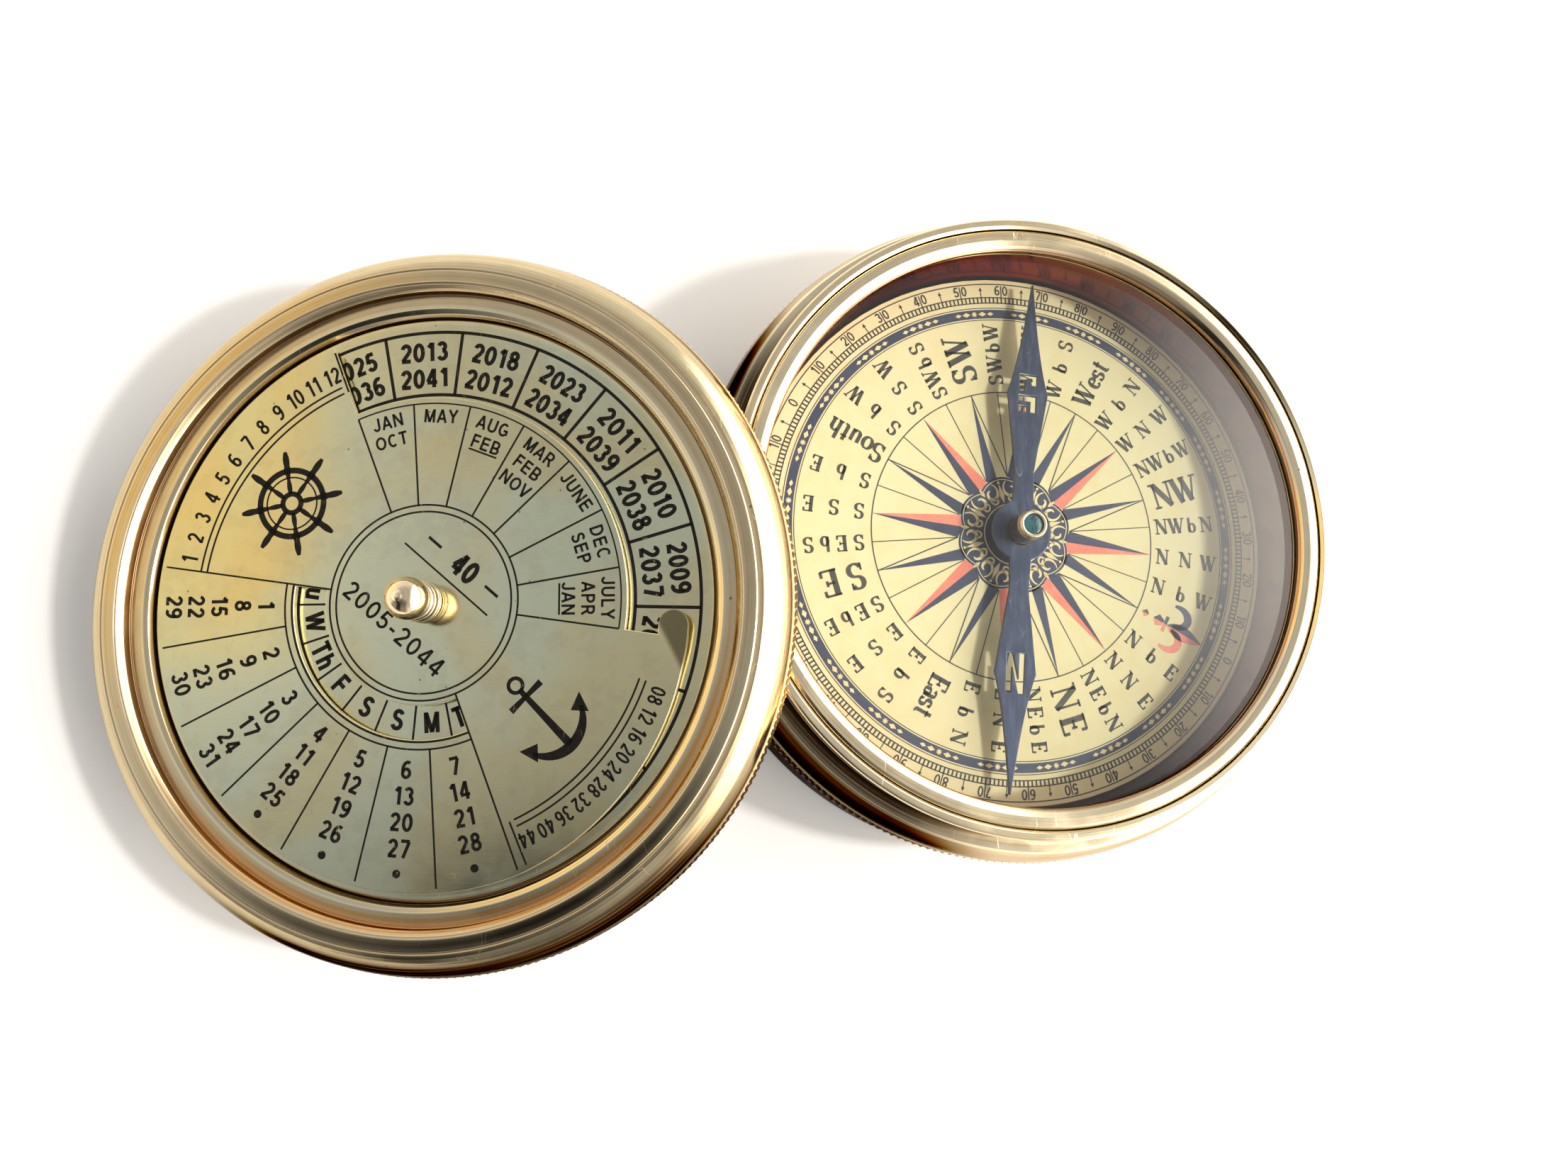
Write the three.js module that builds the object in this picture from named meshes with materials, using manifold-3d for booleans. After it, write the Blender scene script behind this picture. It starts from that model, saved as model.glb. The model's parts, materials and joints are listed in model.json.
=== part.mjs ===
// Brass pocket compass with its screw-off lid, which carries a turning calendar plate.
// Millimetres, +Z up. The origin is the centre of the base's underside.
// The base stands on the table. The lid is unscrewed and leans on the rim of the base.

import * as THREE from 'three';
import { mergeVertices } from 'three/addons/utils/BufferGeometryUtils.js';
import Module from 'manifold-3d';

const wasm = await Module();
wasm.setup();

// Driving sizes

const turnedSides = 72;
const smallTurnedSides = 24;
const seatGap = 0.05;
const fitGap = 0.1;
const runningGap = 0.3;

const base = {
  height: 22,
  rimRadius: 35.2,
  rimHeight: 1.1,
  rimRound: 0.4,
  neckDepth: 0.2,
  neckLength: 3.6,
  shoulderWidth: 1.2,
  shoulderBulge: 0.35,
  edgeReach: 2.8,
  edgeBottom: 10.6,
  edgeWidth: 3.2,
  edgeChamfer: 0.3,
  bodyInset: 0.8,
  footCorner: 2.2,
  bowlWall: 3.2,
  dialLedgeWidth: 1.6,
  floorThickness: 2.4,
};

const dial = {
  depth: 6.8,
  cardThickness: 0.3,
  plateThickness: 0.8,
  edgeGap: 0.3,
};

const glass = {
  depth: 1.6,
  thickness: 1.2,
  bearingWidth: 1.8,
};

const ring = {
  innerReach: 0.3,
  outerHeight: 1.25,
  innerHeight: 0.5,
  crestHeight: 1.5,
  wallGap: 0.15,
};

const pivot = {
  shankRadius: 0.8,
  collarRadius: 1.7,
  collarHeight: 0.55,
  pinRadius: 0.45,
  pinTaper: 1.3,
  nutAcross: 4,
  nutThickness: 1.5,
  threadPast: 0.4,
  tipGap: 0.15,
};

const needle = {
  tipGap: 1.3,
  thickness: 0.5,
  heightOverCard: 1.9,
  hubRadius: 3.6,
  neckHalfWidth: 1.3,
  waistHalfWidth: 1.15,
  waistPlace: 7,
  shoulderHalfWidth: 2.5,
  shoulderPlace: 16.7,
  tipHalfWidth: 0.08,
  southBearing: 85.4,
  letterHeight: 4.6,
  letterWidth: 2.2,
  strokeWidth: 0.7,
};

const cap = {
  glassGap: 0.8,
  radius: 1.7,
  boreRadius: 1,
  flangeRadius: 2.3,
  flangeThickness: 0.35,
  jewelRadius: 1.2,
  jewelThickness: 0.8,
  jewelSink: 0.2,
  jewelDome: 0.15,
  jewelCup: 0.4,
};

const lid = {
  lipInset: 1,
  lipChamfer: 0.4,
  edgeBottom: 1.2,
  edgeWidth: 2.6,
  shoulderWidth: 2.7,
  shoulderHeight: 7.6,
  shoulderBulge: 0.55,
  ringWidth: 2.7,
  ringHeight: 8,
  ledgeWidth: 2.3,
  ledgeHeight: 6.2,
  webTop: 4.8,
  webThickness: 1.15,
  cavityGap: 0.3,
  overhang: 5.3,
  heading: 189.2,
  tableGap: 0.05,
  rimGap: 0.1,
};

const yearDisc = {
  thickness: 0.7,
  edgeGap: 0.3,
};

const plate = {
  edgeGap: 1.1,
  thickness: 0.7,
  monthsWidth: 7.8,
  monthsFrom: -8,
  monthsTo: 112,
  datesFrom: 172,
  datesTo: 292,
  windowInner: 10.55,
  windowOuter: 14,
  windowMargin: 0.5,
  thumbDraw: 1.3,
  earFrom: 344,
  earDepth: 4.4,
  earTo: 354.2,
  earWidth: 3.2,
  earLift: 0.22,
};

const knob = {
  ballRadius: 2.15,
  ballOverPlate: 3.8,
  tipHeight: 0.18,
  tipRadius: 0.5,
  collarRadius: 2.1,
  collarHeight: 0.65,
  grooveRadius: 1.7,
  beadRadius: 2,
  beadHeight: 0.45,
  washerRadius: 2.15,
  washerThickness: 0.8,
  boreDepth: 1.9,
};

const spindle = {
  radius: 1.2,
  headRadius: 2.6,
  headThickness: 0.9,
  headRound: 0.3,
  washerRadius: 3.2,
  washerThickness: 0.25,
};

// Sizes that follow from the driving ones

const edgeRadius = base.rimRadius + base.edgeReach;
const bodyRadius = edgeRadius - base.bodyInset;
const shoulderRadius = base.rimRadius + base.shoulderWidth;
const shoulderHeight = base.height - base.neckLength;
const neckRadius = base.rimRadius - base.neckDepth;
const bowlRadius = base.rimRadius - base.bowlWall;
const underBowlRadius = bowlRadius - base.dialLedgeWidth;
const glassTop = base.height - glass.depth;
const glassBottom = glassTop - glass.thickness;
const glassSeat = glassBottom - seatGap;
const glassRadius = bowlRadius + glass.bearingWidth;
const cardTop = glassBottom - dial.depth;
const cardBottom = cardTop - dial.cardThickness;
const dialPlateTop = cardBottom - seatGap;
const dialPlateBottom = dialPlateTop - dial.plateThickness;
const dialLedge = dialPlateBottom - seatGap;
const dialRadius = bowlRadius - dial.edgeGap;
const ringInnerRadius = bowlRadius - ring.innerReach;
const ringOuterRadius = glassRadius + fitGap;
const ringSeatRadius = ringOuterRadius + ring.wallGap;
const ringBottom = glassTop + seatGap;
const needleHalfLength = dialRadius - needle.tipGap;
const needleBottom = cardTop + needle.heightOverCard;
const needleTop = needleBottom + needle.thickness;
const capTop = glassBottom - cap.glassGap;
const capBottom = needleBottom - seatGap - cap.flangeThickness;
const jewelTop = capTop - cap.jewelSink;
const jewelBottom = jewelTop - cap.jewelThickness;
const pivotHoleRadius = pivot.shankRadius + fitGap;
const cavityRadius = base.rimRadius + lid.cavityGap;
const lipRadius = edgeRadius - lid.lipInset;
const shoulderInner = edgeRadius - lid.shoulderWidth;
const ringInner = shoulderInner - lid.ringWidth;
const ledgeInner = ringInner - lid.ledgeWidth;
const webBottom = lid.webTop - lid.webThickness;
const yearDiscRadius = ledgeInner - yearDisc.edgeGap;
const yearDiscBottom = lid.webTop + fitGap;
const yearDiscTop = yearDiscBottom + yearDisc.thickness;
const plateRadius = ledgeInner - plate.edgeGap;
const monthsRadius = plateRadius - plate.monthsWidth;
const thumbRadius = plateRadius - plate.thumbDraw;
const earInnerRadius = plateRadius - plate.earDepth;
const plateBottom = yearDiscTop + runningGap;
const plateTop = plateBottom + plate.thickness;
const spindleHoleRadius = spindle.radius + runningGap;
const heldHoleRadius = spindle.radius + fitGap;
const washerTop = webBottom - fitGap;
const washerBottom = washerTop - spindle.washerThickness;
const headTop = washerBottom - fitGap;
const knobWasherBottom = plateTop + fitGap;
const knobWasherTop = knobWasherBottom + knob.washerThickness;
const knobBottom = knobWasherTop + fitGap;

// Outline helpers

const radians = THREE.MathUtils.degToRad;

function at(radius, height) {
  return new THREE.Vector2(radius, height);
}

function polar(radius, degrees) {
  return new THREE.Vector2(radius * Math.cos(radians(degrees)), radius * Math.sin(radians(degrees)));
}

// Points of a circle's arc round a centre, both ends included.
function arc(centre, radius, fromDegrees, toDegrees, steps) {
  const points = [];
  for (let step = 0; step <= steps; step += 1) {
    const degrees = fromDegrees + ((toDegrees - fromDegrees) * step) / steps;
    points.push(polar(radius, degrees).add(centre));
  }
  return points;
}

// Inner points of a flat curve that swells by a given height over the straight line between two ends.
function swell(start, end, height, steps) {
  const along = end.clone().sub(start);
  const across = new THREE.Vector2(along.y, -along.x).normalize();
  const points = [];
  for (let step = 1; step < steps; step += 1) {
    const share = step / steps;
    const rise = height * 4 * share * (1 - share);
    points.push(start.clone().addScaledVector(along, share).addScaledVector(across, rise));
  }
  return points;
}

// A turned piece: the profile is radius and height, drawn anticlockwise round its section.
function turned(profile, sides = turnedSides) {
  const closed = profile[0].x === 0 ? profile : [...profile, profile[0].clone()];
  const geometry = new THREE.LatheGeometry(closed, sides);
  geometry.rotateX(Math.PI / 2);
  return geometry;
}

function washer(innerRadius, outerRadius, bottom, top, sides = turnedSides) {
  return turned([at(innerRadius, bottom), at(outerRadius, bottom), at(outerRadius, top), at(innerRadius, top)], sides);
}

function flatPiece(outline, holes, bottom, thickness) {
  const shape = new THREE.Shape(outline);
  for (const hole of holes) {
    shape.holes.push(new THREE.Path(hole));
  }
  const geometry = new THREE.ExtrudeGeometry(shape, { depth: thickness, bevelEnabled: false });
  geometry.translate(0, 0, bottom);
  return geometry;
}

// Conversion to and from a solid for joins

function toSolid(geometry) {
  const bare = geometry.clone();
  bare.deleteAttribute('normal');
  bare.deleteAttribute('uv');
  const merged = mergeVertices(bare);
  const vertProperties = Float32Array.from(merged.attributes.position.array);
  const triVerts = Uint32Array.from(merged.index.array);
  return new wasm.Manifold(new wasm.Mesh({ numProp: 3, vertProperties, triVerts }));
}

function fromSolid(solid) {
  const mesh = solid.getMesh();
  const geometry = new THREE.BufferGeometry();
  geometry.setAttribute('position', new THREE.BufferAttribute(mesh.vertProperties, mesh.numProp));
  geometry.setIndex(new THREE.BufferAttribute(mesh.triVerts, 1));
  geometry.computeVertexNormals();
  return geometry;
}

// Base

// The cup has a rounded foot, a proud edge for the knurl, a swelling shoulder that the lid lands on,
// a recessed neck for the lid's thread and a rim. Inside are the seats of the glass and of the dial.
function caseCup() {
  const edgeTop = base.edgeBottom + base.edgeWidth;
  const edgeFoot = edgeRadius - base.edgeChamfer;
  const shoulderStart = at(edgeFoot, edgeTop + base.edgeChamfer);
  const shoulderEnd = at(shoulderRadius, shoulderHeight);
  const rimBottom = base.height - base.rimHeight;
  const rimCorner = at(base.rimRadius - base.rimRound, base.height - base.rimRound);
  return turned([
    at(0, 0),
    ...arc(at(bodyRadius - base.footCorner, base.footCorner), base.footCorner, -90, 0, 4),
    at(bodyRadius, base.edgeBottom - base.edgeChamfer),
    at(edgeRadius, base.edgeBottom),
    at(edgeRadius, edgeTop),
    shoulderStart,
    ...swell(shoulderStart, shoulderEnd, base.shoulderBulge, 4),
    shoulderEnd,
    at(neckRadius, shoulderHeight),
    at(neckRadius, rimBottom),
    ...arc(rimCorner, base.rimRound, 0, 90, 3),
    at(ringSeatRadius, base.height),
    at(ringSeatRadius, glassSeat),
    at(bowlRadius, glassSeat),
    at(bowlRadius, dialLedge),
    at(underBowlRadius, dialLedge),
    at(underBowlRadius, base.floorThickness),
    at(0, base.floorThickness),
  ]);
}

function dialPlate() {
  return washer(pivotHoleRadius, dialRadius, dialPlateBottom, dialPlateTop);
}

function compassCard() {
  return washer(pivotHoleRadius, dialRadius, cardBottom, cardTop);
}

function glassDisc() {
  return turned([at(0, glassBottom), at(glassRadius, glassBottom), at(glassRadius, glassTop), at(0, glassTop)]);
}

// A rounded ring that slopes down towards the glass.
function retainingRing() {
  const outerTop = at(ringOuterRadius, ringBottom + ring.outerHeight);
  const innerTop = at(ringInnerRadius, ringBottom + ring.innerHeight);
  return turned([
    at(ringInnerRadius, ringBottom),
    at(ringOuterRadius, ringBottom),
    outerTop,
    ...swell(outerTop, innerTop, ring.crestHeight - ring.outerHeight, 4),
    innerTop,
  ]);
}

function nutBottom() {
  return dialPlateBottom - seatGap - pivot.nutThickness;
}

// A turned stud: shank through the dial, a collar on the card and a sharp pin for the needle's jewel.
function pivotStud() {
  const tip = jewelBottom + cap.jewelCup - pivot.tipGap;
  const collarBottom = cardTop + seatGap;
  const collarTop = collarBottom + pivot.collarHeight;
  return turned(
    [
      at(0, nutBottom() - pivot.threadPast),
      at(pivot.shankRadius, nutBottom() - pivot.threadPast),
      at(pivot.shankRadius, collarBottom),
      at(pivot.collarRadius, collarBottom),
      at(pivot.collarRadius, collarTop),
      at(pivot.pinRadius, collarTop),
      at(pivot.pinRadius, tip - pivot.pinTaper),
      at(0, tip),
    ],
    smallTurnedSides,
  );
}

function pivotNut() {
  const corners = arc(at(0, 0), pivot.nutAcross / 2 / Math.cos(Math.PI / 6), 0, 300, 5);
  const hole = arc(at(0, 0), pivotHoleRadius, 345, 0, smallTurnedSides - 1);
  return flatPiece(corners, [hole], nutBottom(), pivot.nutThickness);
}

// Needle, drawn with its south end along +Y

function needleQuarter() {
  const exit = THREE.MathUtils.radToDeg(Math.acos(needle.neckHalfWidth / needle.hubRadius));
  const shoulder = at(needle.shoulderHalfWidth, needle.shoulderPlace);
  const tip = at(needle.tipHalfWidth, needleHalfLength);
  const flankShare = 0.3;
  const pull = at(needle.waistHalfWidth, THREE.MathUtils.lerp(shoulder.y, tip.y, flankShare));
  const flank = new THREE.QuadraticBezierCurve(shoulder, pull, tip).getPoints(6);
  return [...arc(at(0, 0), needle.hubRadius, 0, exit, 5), at(needle.waistHalfWidth, needle.waistPlace), ...flank];
}

function needleOutline() {
  const quarter = needleQuarter();
  const mirrored = (x, y) => quarter.map((point) => at(point.x * x, point.y * y));
  const upper = [...mirrored(1, 1), ...mirrored(-1, 1).reverse()];
  const lower = [...mirrored(-1, -1).slice(1), ...mirrored(1, -1).reverse().slice(0, -1)];
  return [...upper, ...lower];
}

// Letter holes: the points are set in half widths and half heights, and a stroke is a length.
function letterN(middle) {
  const x = needle.letterWidth / 2;
  const y = needle.letterHeight / 2;
  const inner = x - needle.strokeWidth;
  const counterShare = 0.3;
  const points = [
    at(-x, -y),
    at(-inner, -y),
    at(-inner, y * counterShare),
    at(inner, -y),
    at(x, -y),
    at(x, y),
    at(inner, y),
    at(inner, -y * counterShare),
    at(-inner, y),
    at(-x, y),
  ];
  return [points.map((point) => point.add(middle))];
}

function letterS(middle) {
  const x = needle.letterWidth / 2;
  const y = needle.letterHeight / 2;
  const stroke = needle.strokeWidth;
  const inner = x - stroke;
  const bridgeShare = 0.12;
  const serifShare = 0.45;
  const hook = [
    at(-x, y * bridgeShare),
    at(-inner, y * bridgeShare),
    at(-inner, y - stroke),
    at(inner, y - stroke),
    at(inner, y * serifShare),
    at(x, y * serifShare),
    at(x, y),
    at(-x, y),
  ];
  const foot = [
    at(inner, -y),
    at(x, -y),
    at(x, -y * bridgeShare),
    at(-x, -y * bridgeShare),
    at(-x, -y * bridgeShare - stroke),
    at(inner, -y * bridgeShare - stroke),
  ];
  const serif = [at(-x, -y), at(0, -y), at(0, stroke - y), at(-x, stroke - y)];
  return [hook, foot, serif].map((points) => points.map((point) => point.add(middle)));
}

// Blued steel strip with its two letters cut through.
function needleBlade() {
  const holeRadius = cap.radius + fitGap;
  const hubHole = arc(at(0, 0), holeRadius, 345, 0, smallTurnedSides - 1);
  const letters = [...letterN(at(0, -needle.shoulderPlace)), ...letterS(at(0, needle.shoulderPlace))];
  const blade = flatPiece(needleOutline(), [hubHole, ...letters], needleBottom, needle.thickness);
  blade.rotateZ(radians(needle.southBearing - 90));
  return blade;
}

// Brass tube with a flange under the needle and a seat for the jewel in its top.
function needleCap() {
  const topRound = cap.jewelSink;
  return turned(
    [
      at(cap.boreRadius, capBottom),
      at(cap.flangeRadius, capBottom),
      at(cap.flangeRadius, capBottom + cap.flangeThickness),
      at(cap.radius, capBottom + cap.flangeThickness),
      at(cap.radius, capTop - topRound),
      at(cap.radius - topRound / 2, capTop),
      at(cap.jewelRadius + seatGap, capTop),
      at(cap.jewelRadius + seatGap, jewelBottom - seatGap),
      at(cap.boreRadius, jewelBottom - seatGap),
    ],
    smallTurnedSides,
  );
}

// Domed jewel with a cone cut in its underside for the pin.
function capJewel() {
  const crown = jewelTop - cap.jewelDome;
  return turned(
    [
      at(0, jewelBottom + cap.jewelCup),
      at(cap.jewelRadius / 2, jewelBottom),
      at(cap.jewelRadius, jewelBottom),
      at(cap.jewelRadius, crown),
      at(cap.jewelRadius / 2, jewelTop - cap.jewelDome / 4),
      at(0, jewelTop),
    ],
    smallTurnedSides,
  );
}

// Lid, drawn with its lip on the plane z = 0

// The shell has a lip, a proud edge for the knurl, a swelling shoulder, a rounded ring, a ledge
// and a recess for the year disc. Its web has a hole for the spindle and closes the threaded cavity.
function lidShell() {
  const edgeTop = lid.edgeBottom + lid.edgeWidth;
  const shoulderStart = at(edgeRadius - base.edgeChamfer, edgeTop + base.edgeChamfer);
  const shoulderEnd = at(shoulderInner, lid.shoulderHeight);
  const ringTop = at(ringInner + lid.lipChamfer, lid.ringHeight);
  return turned([
    at(spindleHoleRadius, webBottom),
    at(cavityRadius, webBottom),
    at(cavityRadius, 0),
    at(lipRadius, 0),
    at(lipRadius + lid.lipChamfer, lid.lipChamfer),
    at(lipRadius + lid.lipChamfer, lid.edgeBottom - base.edgeChamfer),
    at(edgeRadius, lid.edgeBottom),
    at(edgeRadius, edgeTop),
    shoulderStart,
    ...swell(shoulderStart, shoulderEnd, lid.shoulderBulge, 5),
    shoulderEnd,
    ringTop,
    at(ringInner, lid.ringHeight - lid.lipChamfer),
    at(ringInner, lid.ledgeHeight),
    at(ledgeInner, lid.ledgeHeight),
    at(ledgeInner, lid.webTop),
    at(spindleHoleRadius, lid.webTop),
  ]);
}

function yearDiscPiece() {
  return washer(spindleHoleRadius, yearDiscRadius, yearDiscBottom, yearDiscTop);
}

// The edge that a thumb follows draws in steadily from the full radius to the ear.
function thumbEdge(steps) {
  const points = [];
  for (let step = 1; step <= steps; step += 1) {
    const radius = THREE.MathUtils.lerp(plateRadius, thumbRadius, step / steps);
    points.push(polar(radius, THREE.MathUtils.lerp(plate.datesTo, plate.earFrom, step / steps)));
  }
  return points;
}

// The plate is a disc cut back over the months so that the years beyond them show,
// pierced by an arc window for the weekdays, and drawn in along its thumb edge.
function calendarSheet() {
  const centre = at(0, 0);
  const outline = [
    ...arc(centre, monthsRadius, plate.monthsFrom, plate.monthsTo, 24),
    ...arc(centre, plateRadius, plate.monthsTo, plate.datesTo, 40),
    ...thumbEdge(12),
    polar(earInnerRadius, plate.monthsFrom),
  ];
  const from = plate.datesFrom + plate.windowMargin;
  const to = plate.datesTo - plate.windowMargin;
  const opening = [
    ...arc(centre, plate.windowOuter, from, to, 20),
    ...arc(centre, plate.windowInner, to, from, 20),
  ];
  const hole = arc(centre, heldHoleRadius, 345, 0, smallTurnedSides - 1);
  return flatPiece(outline, [opening.reverse(), hole], plateBottom, plate.thickness);
}

// A rounded ear at the plate's corner, bent up along a straight line so that a thumb can turn the plate.
function calendarEar() {
  const outer = polar(thumbRadius, plate.earFrom);
  const inner = polar(earInnerRadius, plate.monthsFrom);
  const endCentre = polar(thumbRadius - plate.earWidth / 2, plate.earTo);
  const outline = [
    inner,
    outer,
    polar(thumbRadius, (plate.earFrom + plate.earTo) / 2),
    ...arc(endCentre, plate.earWidth / 2, plate.earTo - 360, plate.earTo - 180, 8),
  ];
  const ear = flatPiece(outline, [], plateBottom, plate.thickness);
  const along = inner.clone().sub(outer).normalize();
  const beyond = at(along.y, -along.x);
  const bend = new THREE.Matrix4().set(
    1, 0, 0, 0,
    0, 1, 0, 0,
    plate.earLift * beyond.x, plate.earLift * beyond.y, 1, -plate.earLift * beyond.dot(outer),
    0, 0, 0, 1,
  );
  return ear.applyMatrix4(bend);
}

function calendarPlate() {
  return fromSolid(toSolid(calendarSheet()).add(toSolid(calendarEar())));
}

function knobWasher() {
  return washer(heldHoleRadius, knob.washerRadius, knobWasherBottom, knobWasherTop, smallTurnedSides);
}

// Turned finial: a collar, a groove, a bead and a ball with a small blunt tip, bored from below.
function calendarKnob() {
  const centre = at(0, plateTop + knob.ballOverPlate);
  const collarTop = knobBottom + knob.collarHeight;
  const beadBottom = collarTop + (knob.collarRadius - knob.grooveRadius) / 2;
  const beadTop = beadBottom + knob.beadHeight;
  const neck = THREE.MathUtils.radToDeg(Math.acos(knob.grooveRadius / knob.ballRadius));
  const crown = THREE.MathUtils.radToDeg(Math.acos(knob.tipRadius / knob.ballRadius));
  return turned(
    [
      at(0, knobBottom + knob.boreDepth),
      at(heldHoleRadius, knobBottom + knob.boreDepth),
      at(heldHoleRadius, knobBottom),
      at(knob.collarRadius, knobBottom),
      at(knob.collarRadius, collarTop),
      at(knob.grooveRadius, beadBottom),
      at(knob.beadRadius, (beadBottom + beadTop) / 2),
      at(knob.grooveRadius, beadTop),
      ...arc(centre, knob.ballRadius, -neck, crown, 9),
      at(0, centre.y + knob.ballRadius + knob.tipHeight),
    ],
    smallTurnedSides,
  );
}

function spindleWasher() {
  return washer(heldHoleRadius, spindle.washerRadius, washerBottom, washerTop, smallTurnedSides);
}

// Screw from inside the lid: a low head under the web and a shank up into the knob.
function spindleScrew() {
  const headBottom = headTop - spindle.headThickness;
  return turned(
    [
      at(0, headBottom),
      at(spindle.headRadius - spindle.headRound, headBottom),
      at(spindle.headRadius, headBottom + spindle.headRound),
      at(spindle.headRadius, headTop),
      at(spindle.radius, headTop),
      at(spindle.radius, knobBottom + knob.boreDepth - fitGap),
      at(0, knobBottom + knob.boreDepth - fitGap),
    ],
    smallTurnedSides,
  );
}

// The lid's lean

// The lip touches the table at its lowest point, and its inner edge crosses the base's rim at two
// points. For a lean, the crossing is where that edge reaches the rim's height. The lean is right
// when the crossing also lies on the rim's circle. A larger lean moves it out, so halving finds it.
function leanAngle() {
  const climb = base.height + lid.rimGap - lid.tableGap;
  let low = Math.asin(climb / (lipRadius + cavityRadius));
  let high = Math.PI / 3;
  for (let step = 0; step < 50; step += 1) {
    const angle = (low + high) / 2;
    const crossing = (climb / Math.sin(angle) - lipRadius) / cavityRadius;
    const along = leanDistance(angle) - cavityRadius * Math.cos(angle) * crossing;
    const aside = cavityRadius * Math.sqrt(Math.max(0, 1 - crossing * crossing));
    if (Math.hypot(along, aside) > base.rimRadius) {
      high = angle;
    } else {
      low = angle;
    }
  }
  return (low + high) / 2;
}

// From the base's axis to the centre of the lid's lip, seen from above.
function leanDistance(angle) {
  return base.rimRadius - lid.overhang + lipRadius * Math.cos(angle);
}

function lidGroup() {
  const angle = leanAngle();
  const heading = radians(lid.heading);
  const distance = leanDistance(angle);
  const group = new THREE.Group();
  const axis = new THREE.Vector3(-Math.sin(heading), Math.cos(heading), 0);
  group.quaternion.setFromAxisAngle(axis, angle);
  group.position.set(
    distance * Math.cos(heading),
    distance * Math.sin(heading),
    lipRadius * Math.sin(angle) + lid.tableGap,
  );
  return group;
}

// Assembly

const finishes = {
  brass: { color: 0xc9a86a, roughness: 0.25, metalness: 1 },
  darkBrass: { color: 0x9c8a5c, roughness: 0.4, metalness: 1 },
  plateBrass: { color: 0xa9aa8c, roughness: 0.3, metalness: 1 },
  blueSteel: { color: 0x2e3a66, roughness: 0.3, metalness: 0.9 },
  steel: { color: 0xb8bcc2, roughness: 0.3, metalness: 1 },
  paper: { color: 0xf3e8a4, roughness: 0.8, metalness: 0 },
  glass: { color: 0xeef4f2, roughness: 0.05, metalness: 0, transparent: true, opacity: 0.35 },
  jewel: { color: 0x14505c, roughness: 0.1, metalness: 0 },
};

function piece(name, geometry, finish) {
  const mesh = new THREE.Mesh(geometry, new THREE.MeshStandardMaterial(finishes[finish]));
  mesh.name = name;
  return mesh;
}

const compass = new THREE.Group();
compass.add(
  piece('case_cup', caseCup(), 'brass'),
  piece('dial_plate', dialPlate(), 'darkBrass'),
  piece('compass_card', compassCard(), 'paper'),
  piece('pivot_stud', pivotStud(), 'steel'),
  piece('pivot_nut', pivotNut(), 'brass'),
  piece('glass', glassDisc(), 'glass'),
  piece('retaining_ring', retainingRing(), 'brass'),
  piece('needle', needleBlade(), 'blueSteel'),
  piece('needle_cap', needleCap(), 'brass'),
  piece('cap_jewel', capJewel(), 'jewel'),
);

const leaningLid = lidGroup();
leaningLid.add(
  piece('lid_shell', lidShell(), 'brass'),
  piece('year_disc', yearDiscPiece(), 'plateBrass'),
  piece('calendar_plate', calendarPlate(), 'plateBrass'),
  piece('knob_washer', knobWasher(), 'brass'),
  piece('calendar_knob', calendarKnob(), 'brass'),
  piece('spindle_washer', spindleWasher(), 'darkBrass'),
  piece('spindle_screw', spindleScrew(), 'steel'),
);
compass.add(leaningLid);

export default compass;
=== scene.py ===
"""Looks of a brass pocket compass whose unscrewed lid carries a turning calendar.

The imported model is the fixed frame. Sizes inside the classes are millimetres in the frame of their
own sub-assembly: the base's frame is the row frame, and the lid's frame has its lip on z = 0.
"""
import json
import logging
import math
from collections.abc import Callable, Sequence
from dataclasses import dataclass, field
from enum import Enum

import bpy
import numpy as np
from mathutils import Matrix
from mathutils.geometry import delaunay_2d_cdt


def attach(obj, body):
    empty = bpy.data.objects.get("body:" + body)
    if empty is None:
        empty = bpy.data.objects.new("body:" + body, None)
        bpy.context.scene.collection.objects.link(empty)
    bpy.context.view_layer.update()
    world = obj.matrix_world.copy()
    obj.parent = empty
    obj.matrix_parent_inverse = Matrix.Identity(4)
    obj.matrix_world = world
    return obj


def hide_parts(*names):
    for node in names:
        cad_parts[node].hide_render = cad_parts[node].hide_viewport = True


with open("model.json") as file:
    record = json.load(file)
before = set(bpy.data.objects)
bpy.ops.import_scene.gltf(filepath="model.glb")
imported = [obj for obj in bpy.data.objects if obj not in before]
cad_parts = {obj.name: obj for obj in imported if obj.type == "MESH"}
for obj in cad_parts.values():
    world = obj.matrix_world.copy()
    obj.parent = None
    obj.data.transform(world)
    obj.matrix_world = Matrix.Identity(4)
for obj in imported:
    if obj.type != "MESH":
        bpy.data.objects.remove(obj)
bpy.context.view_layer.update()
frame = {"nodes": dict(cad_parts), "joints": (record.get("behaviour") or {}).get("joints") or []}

logging.basicConfig(level=logging.INFO, format="%(message)s")
LOG = logging.getLogger("compass")
MM = 0.001
Node = bpy.types.Node
Socket = bpy.types.NodeSocket
Material = bpy.types.Material
Array = np.ndarray
Pair = tuple[float, float]
Triple = tuple[float, float, float]
Colour = Triple
Table = Sequence[Sequence[float]]
Relief = Callable[[Array, Array, Array], Array]


# Geometry


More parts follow.
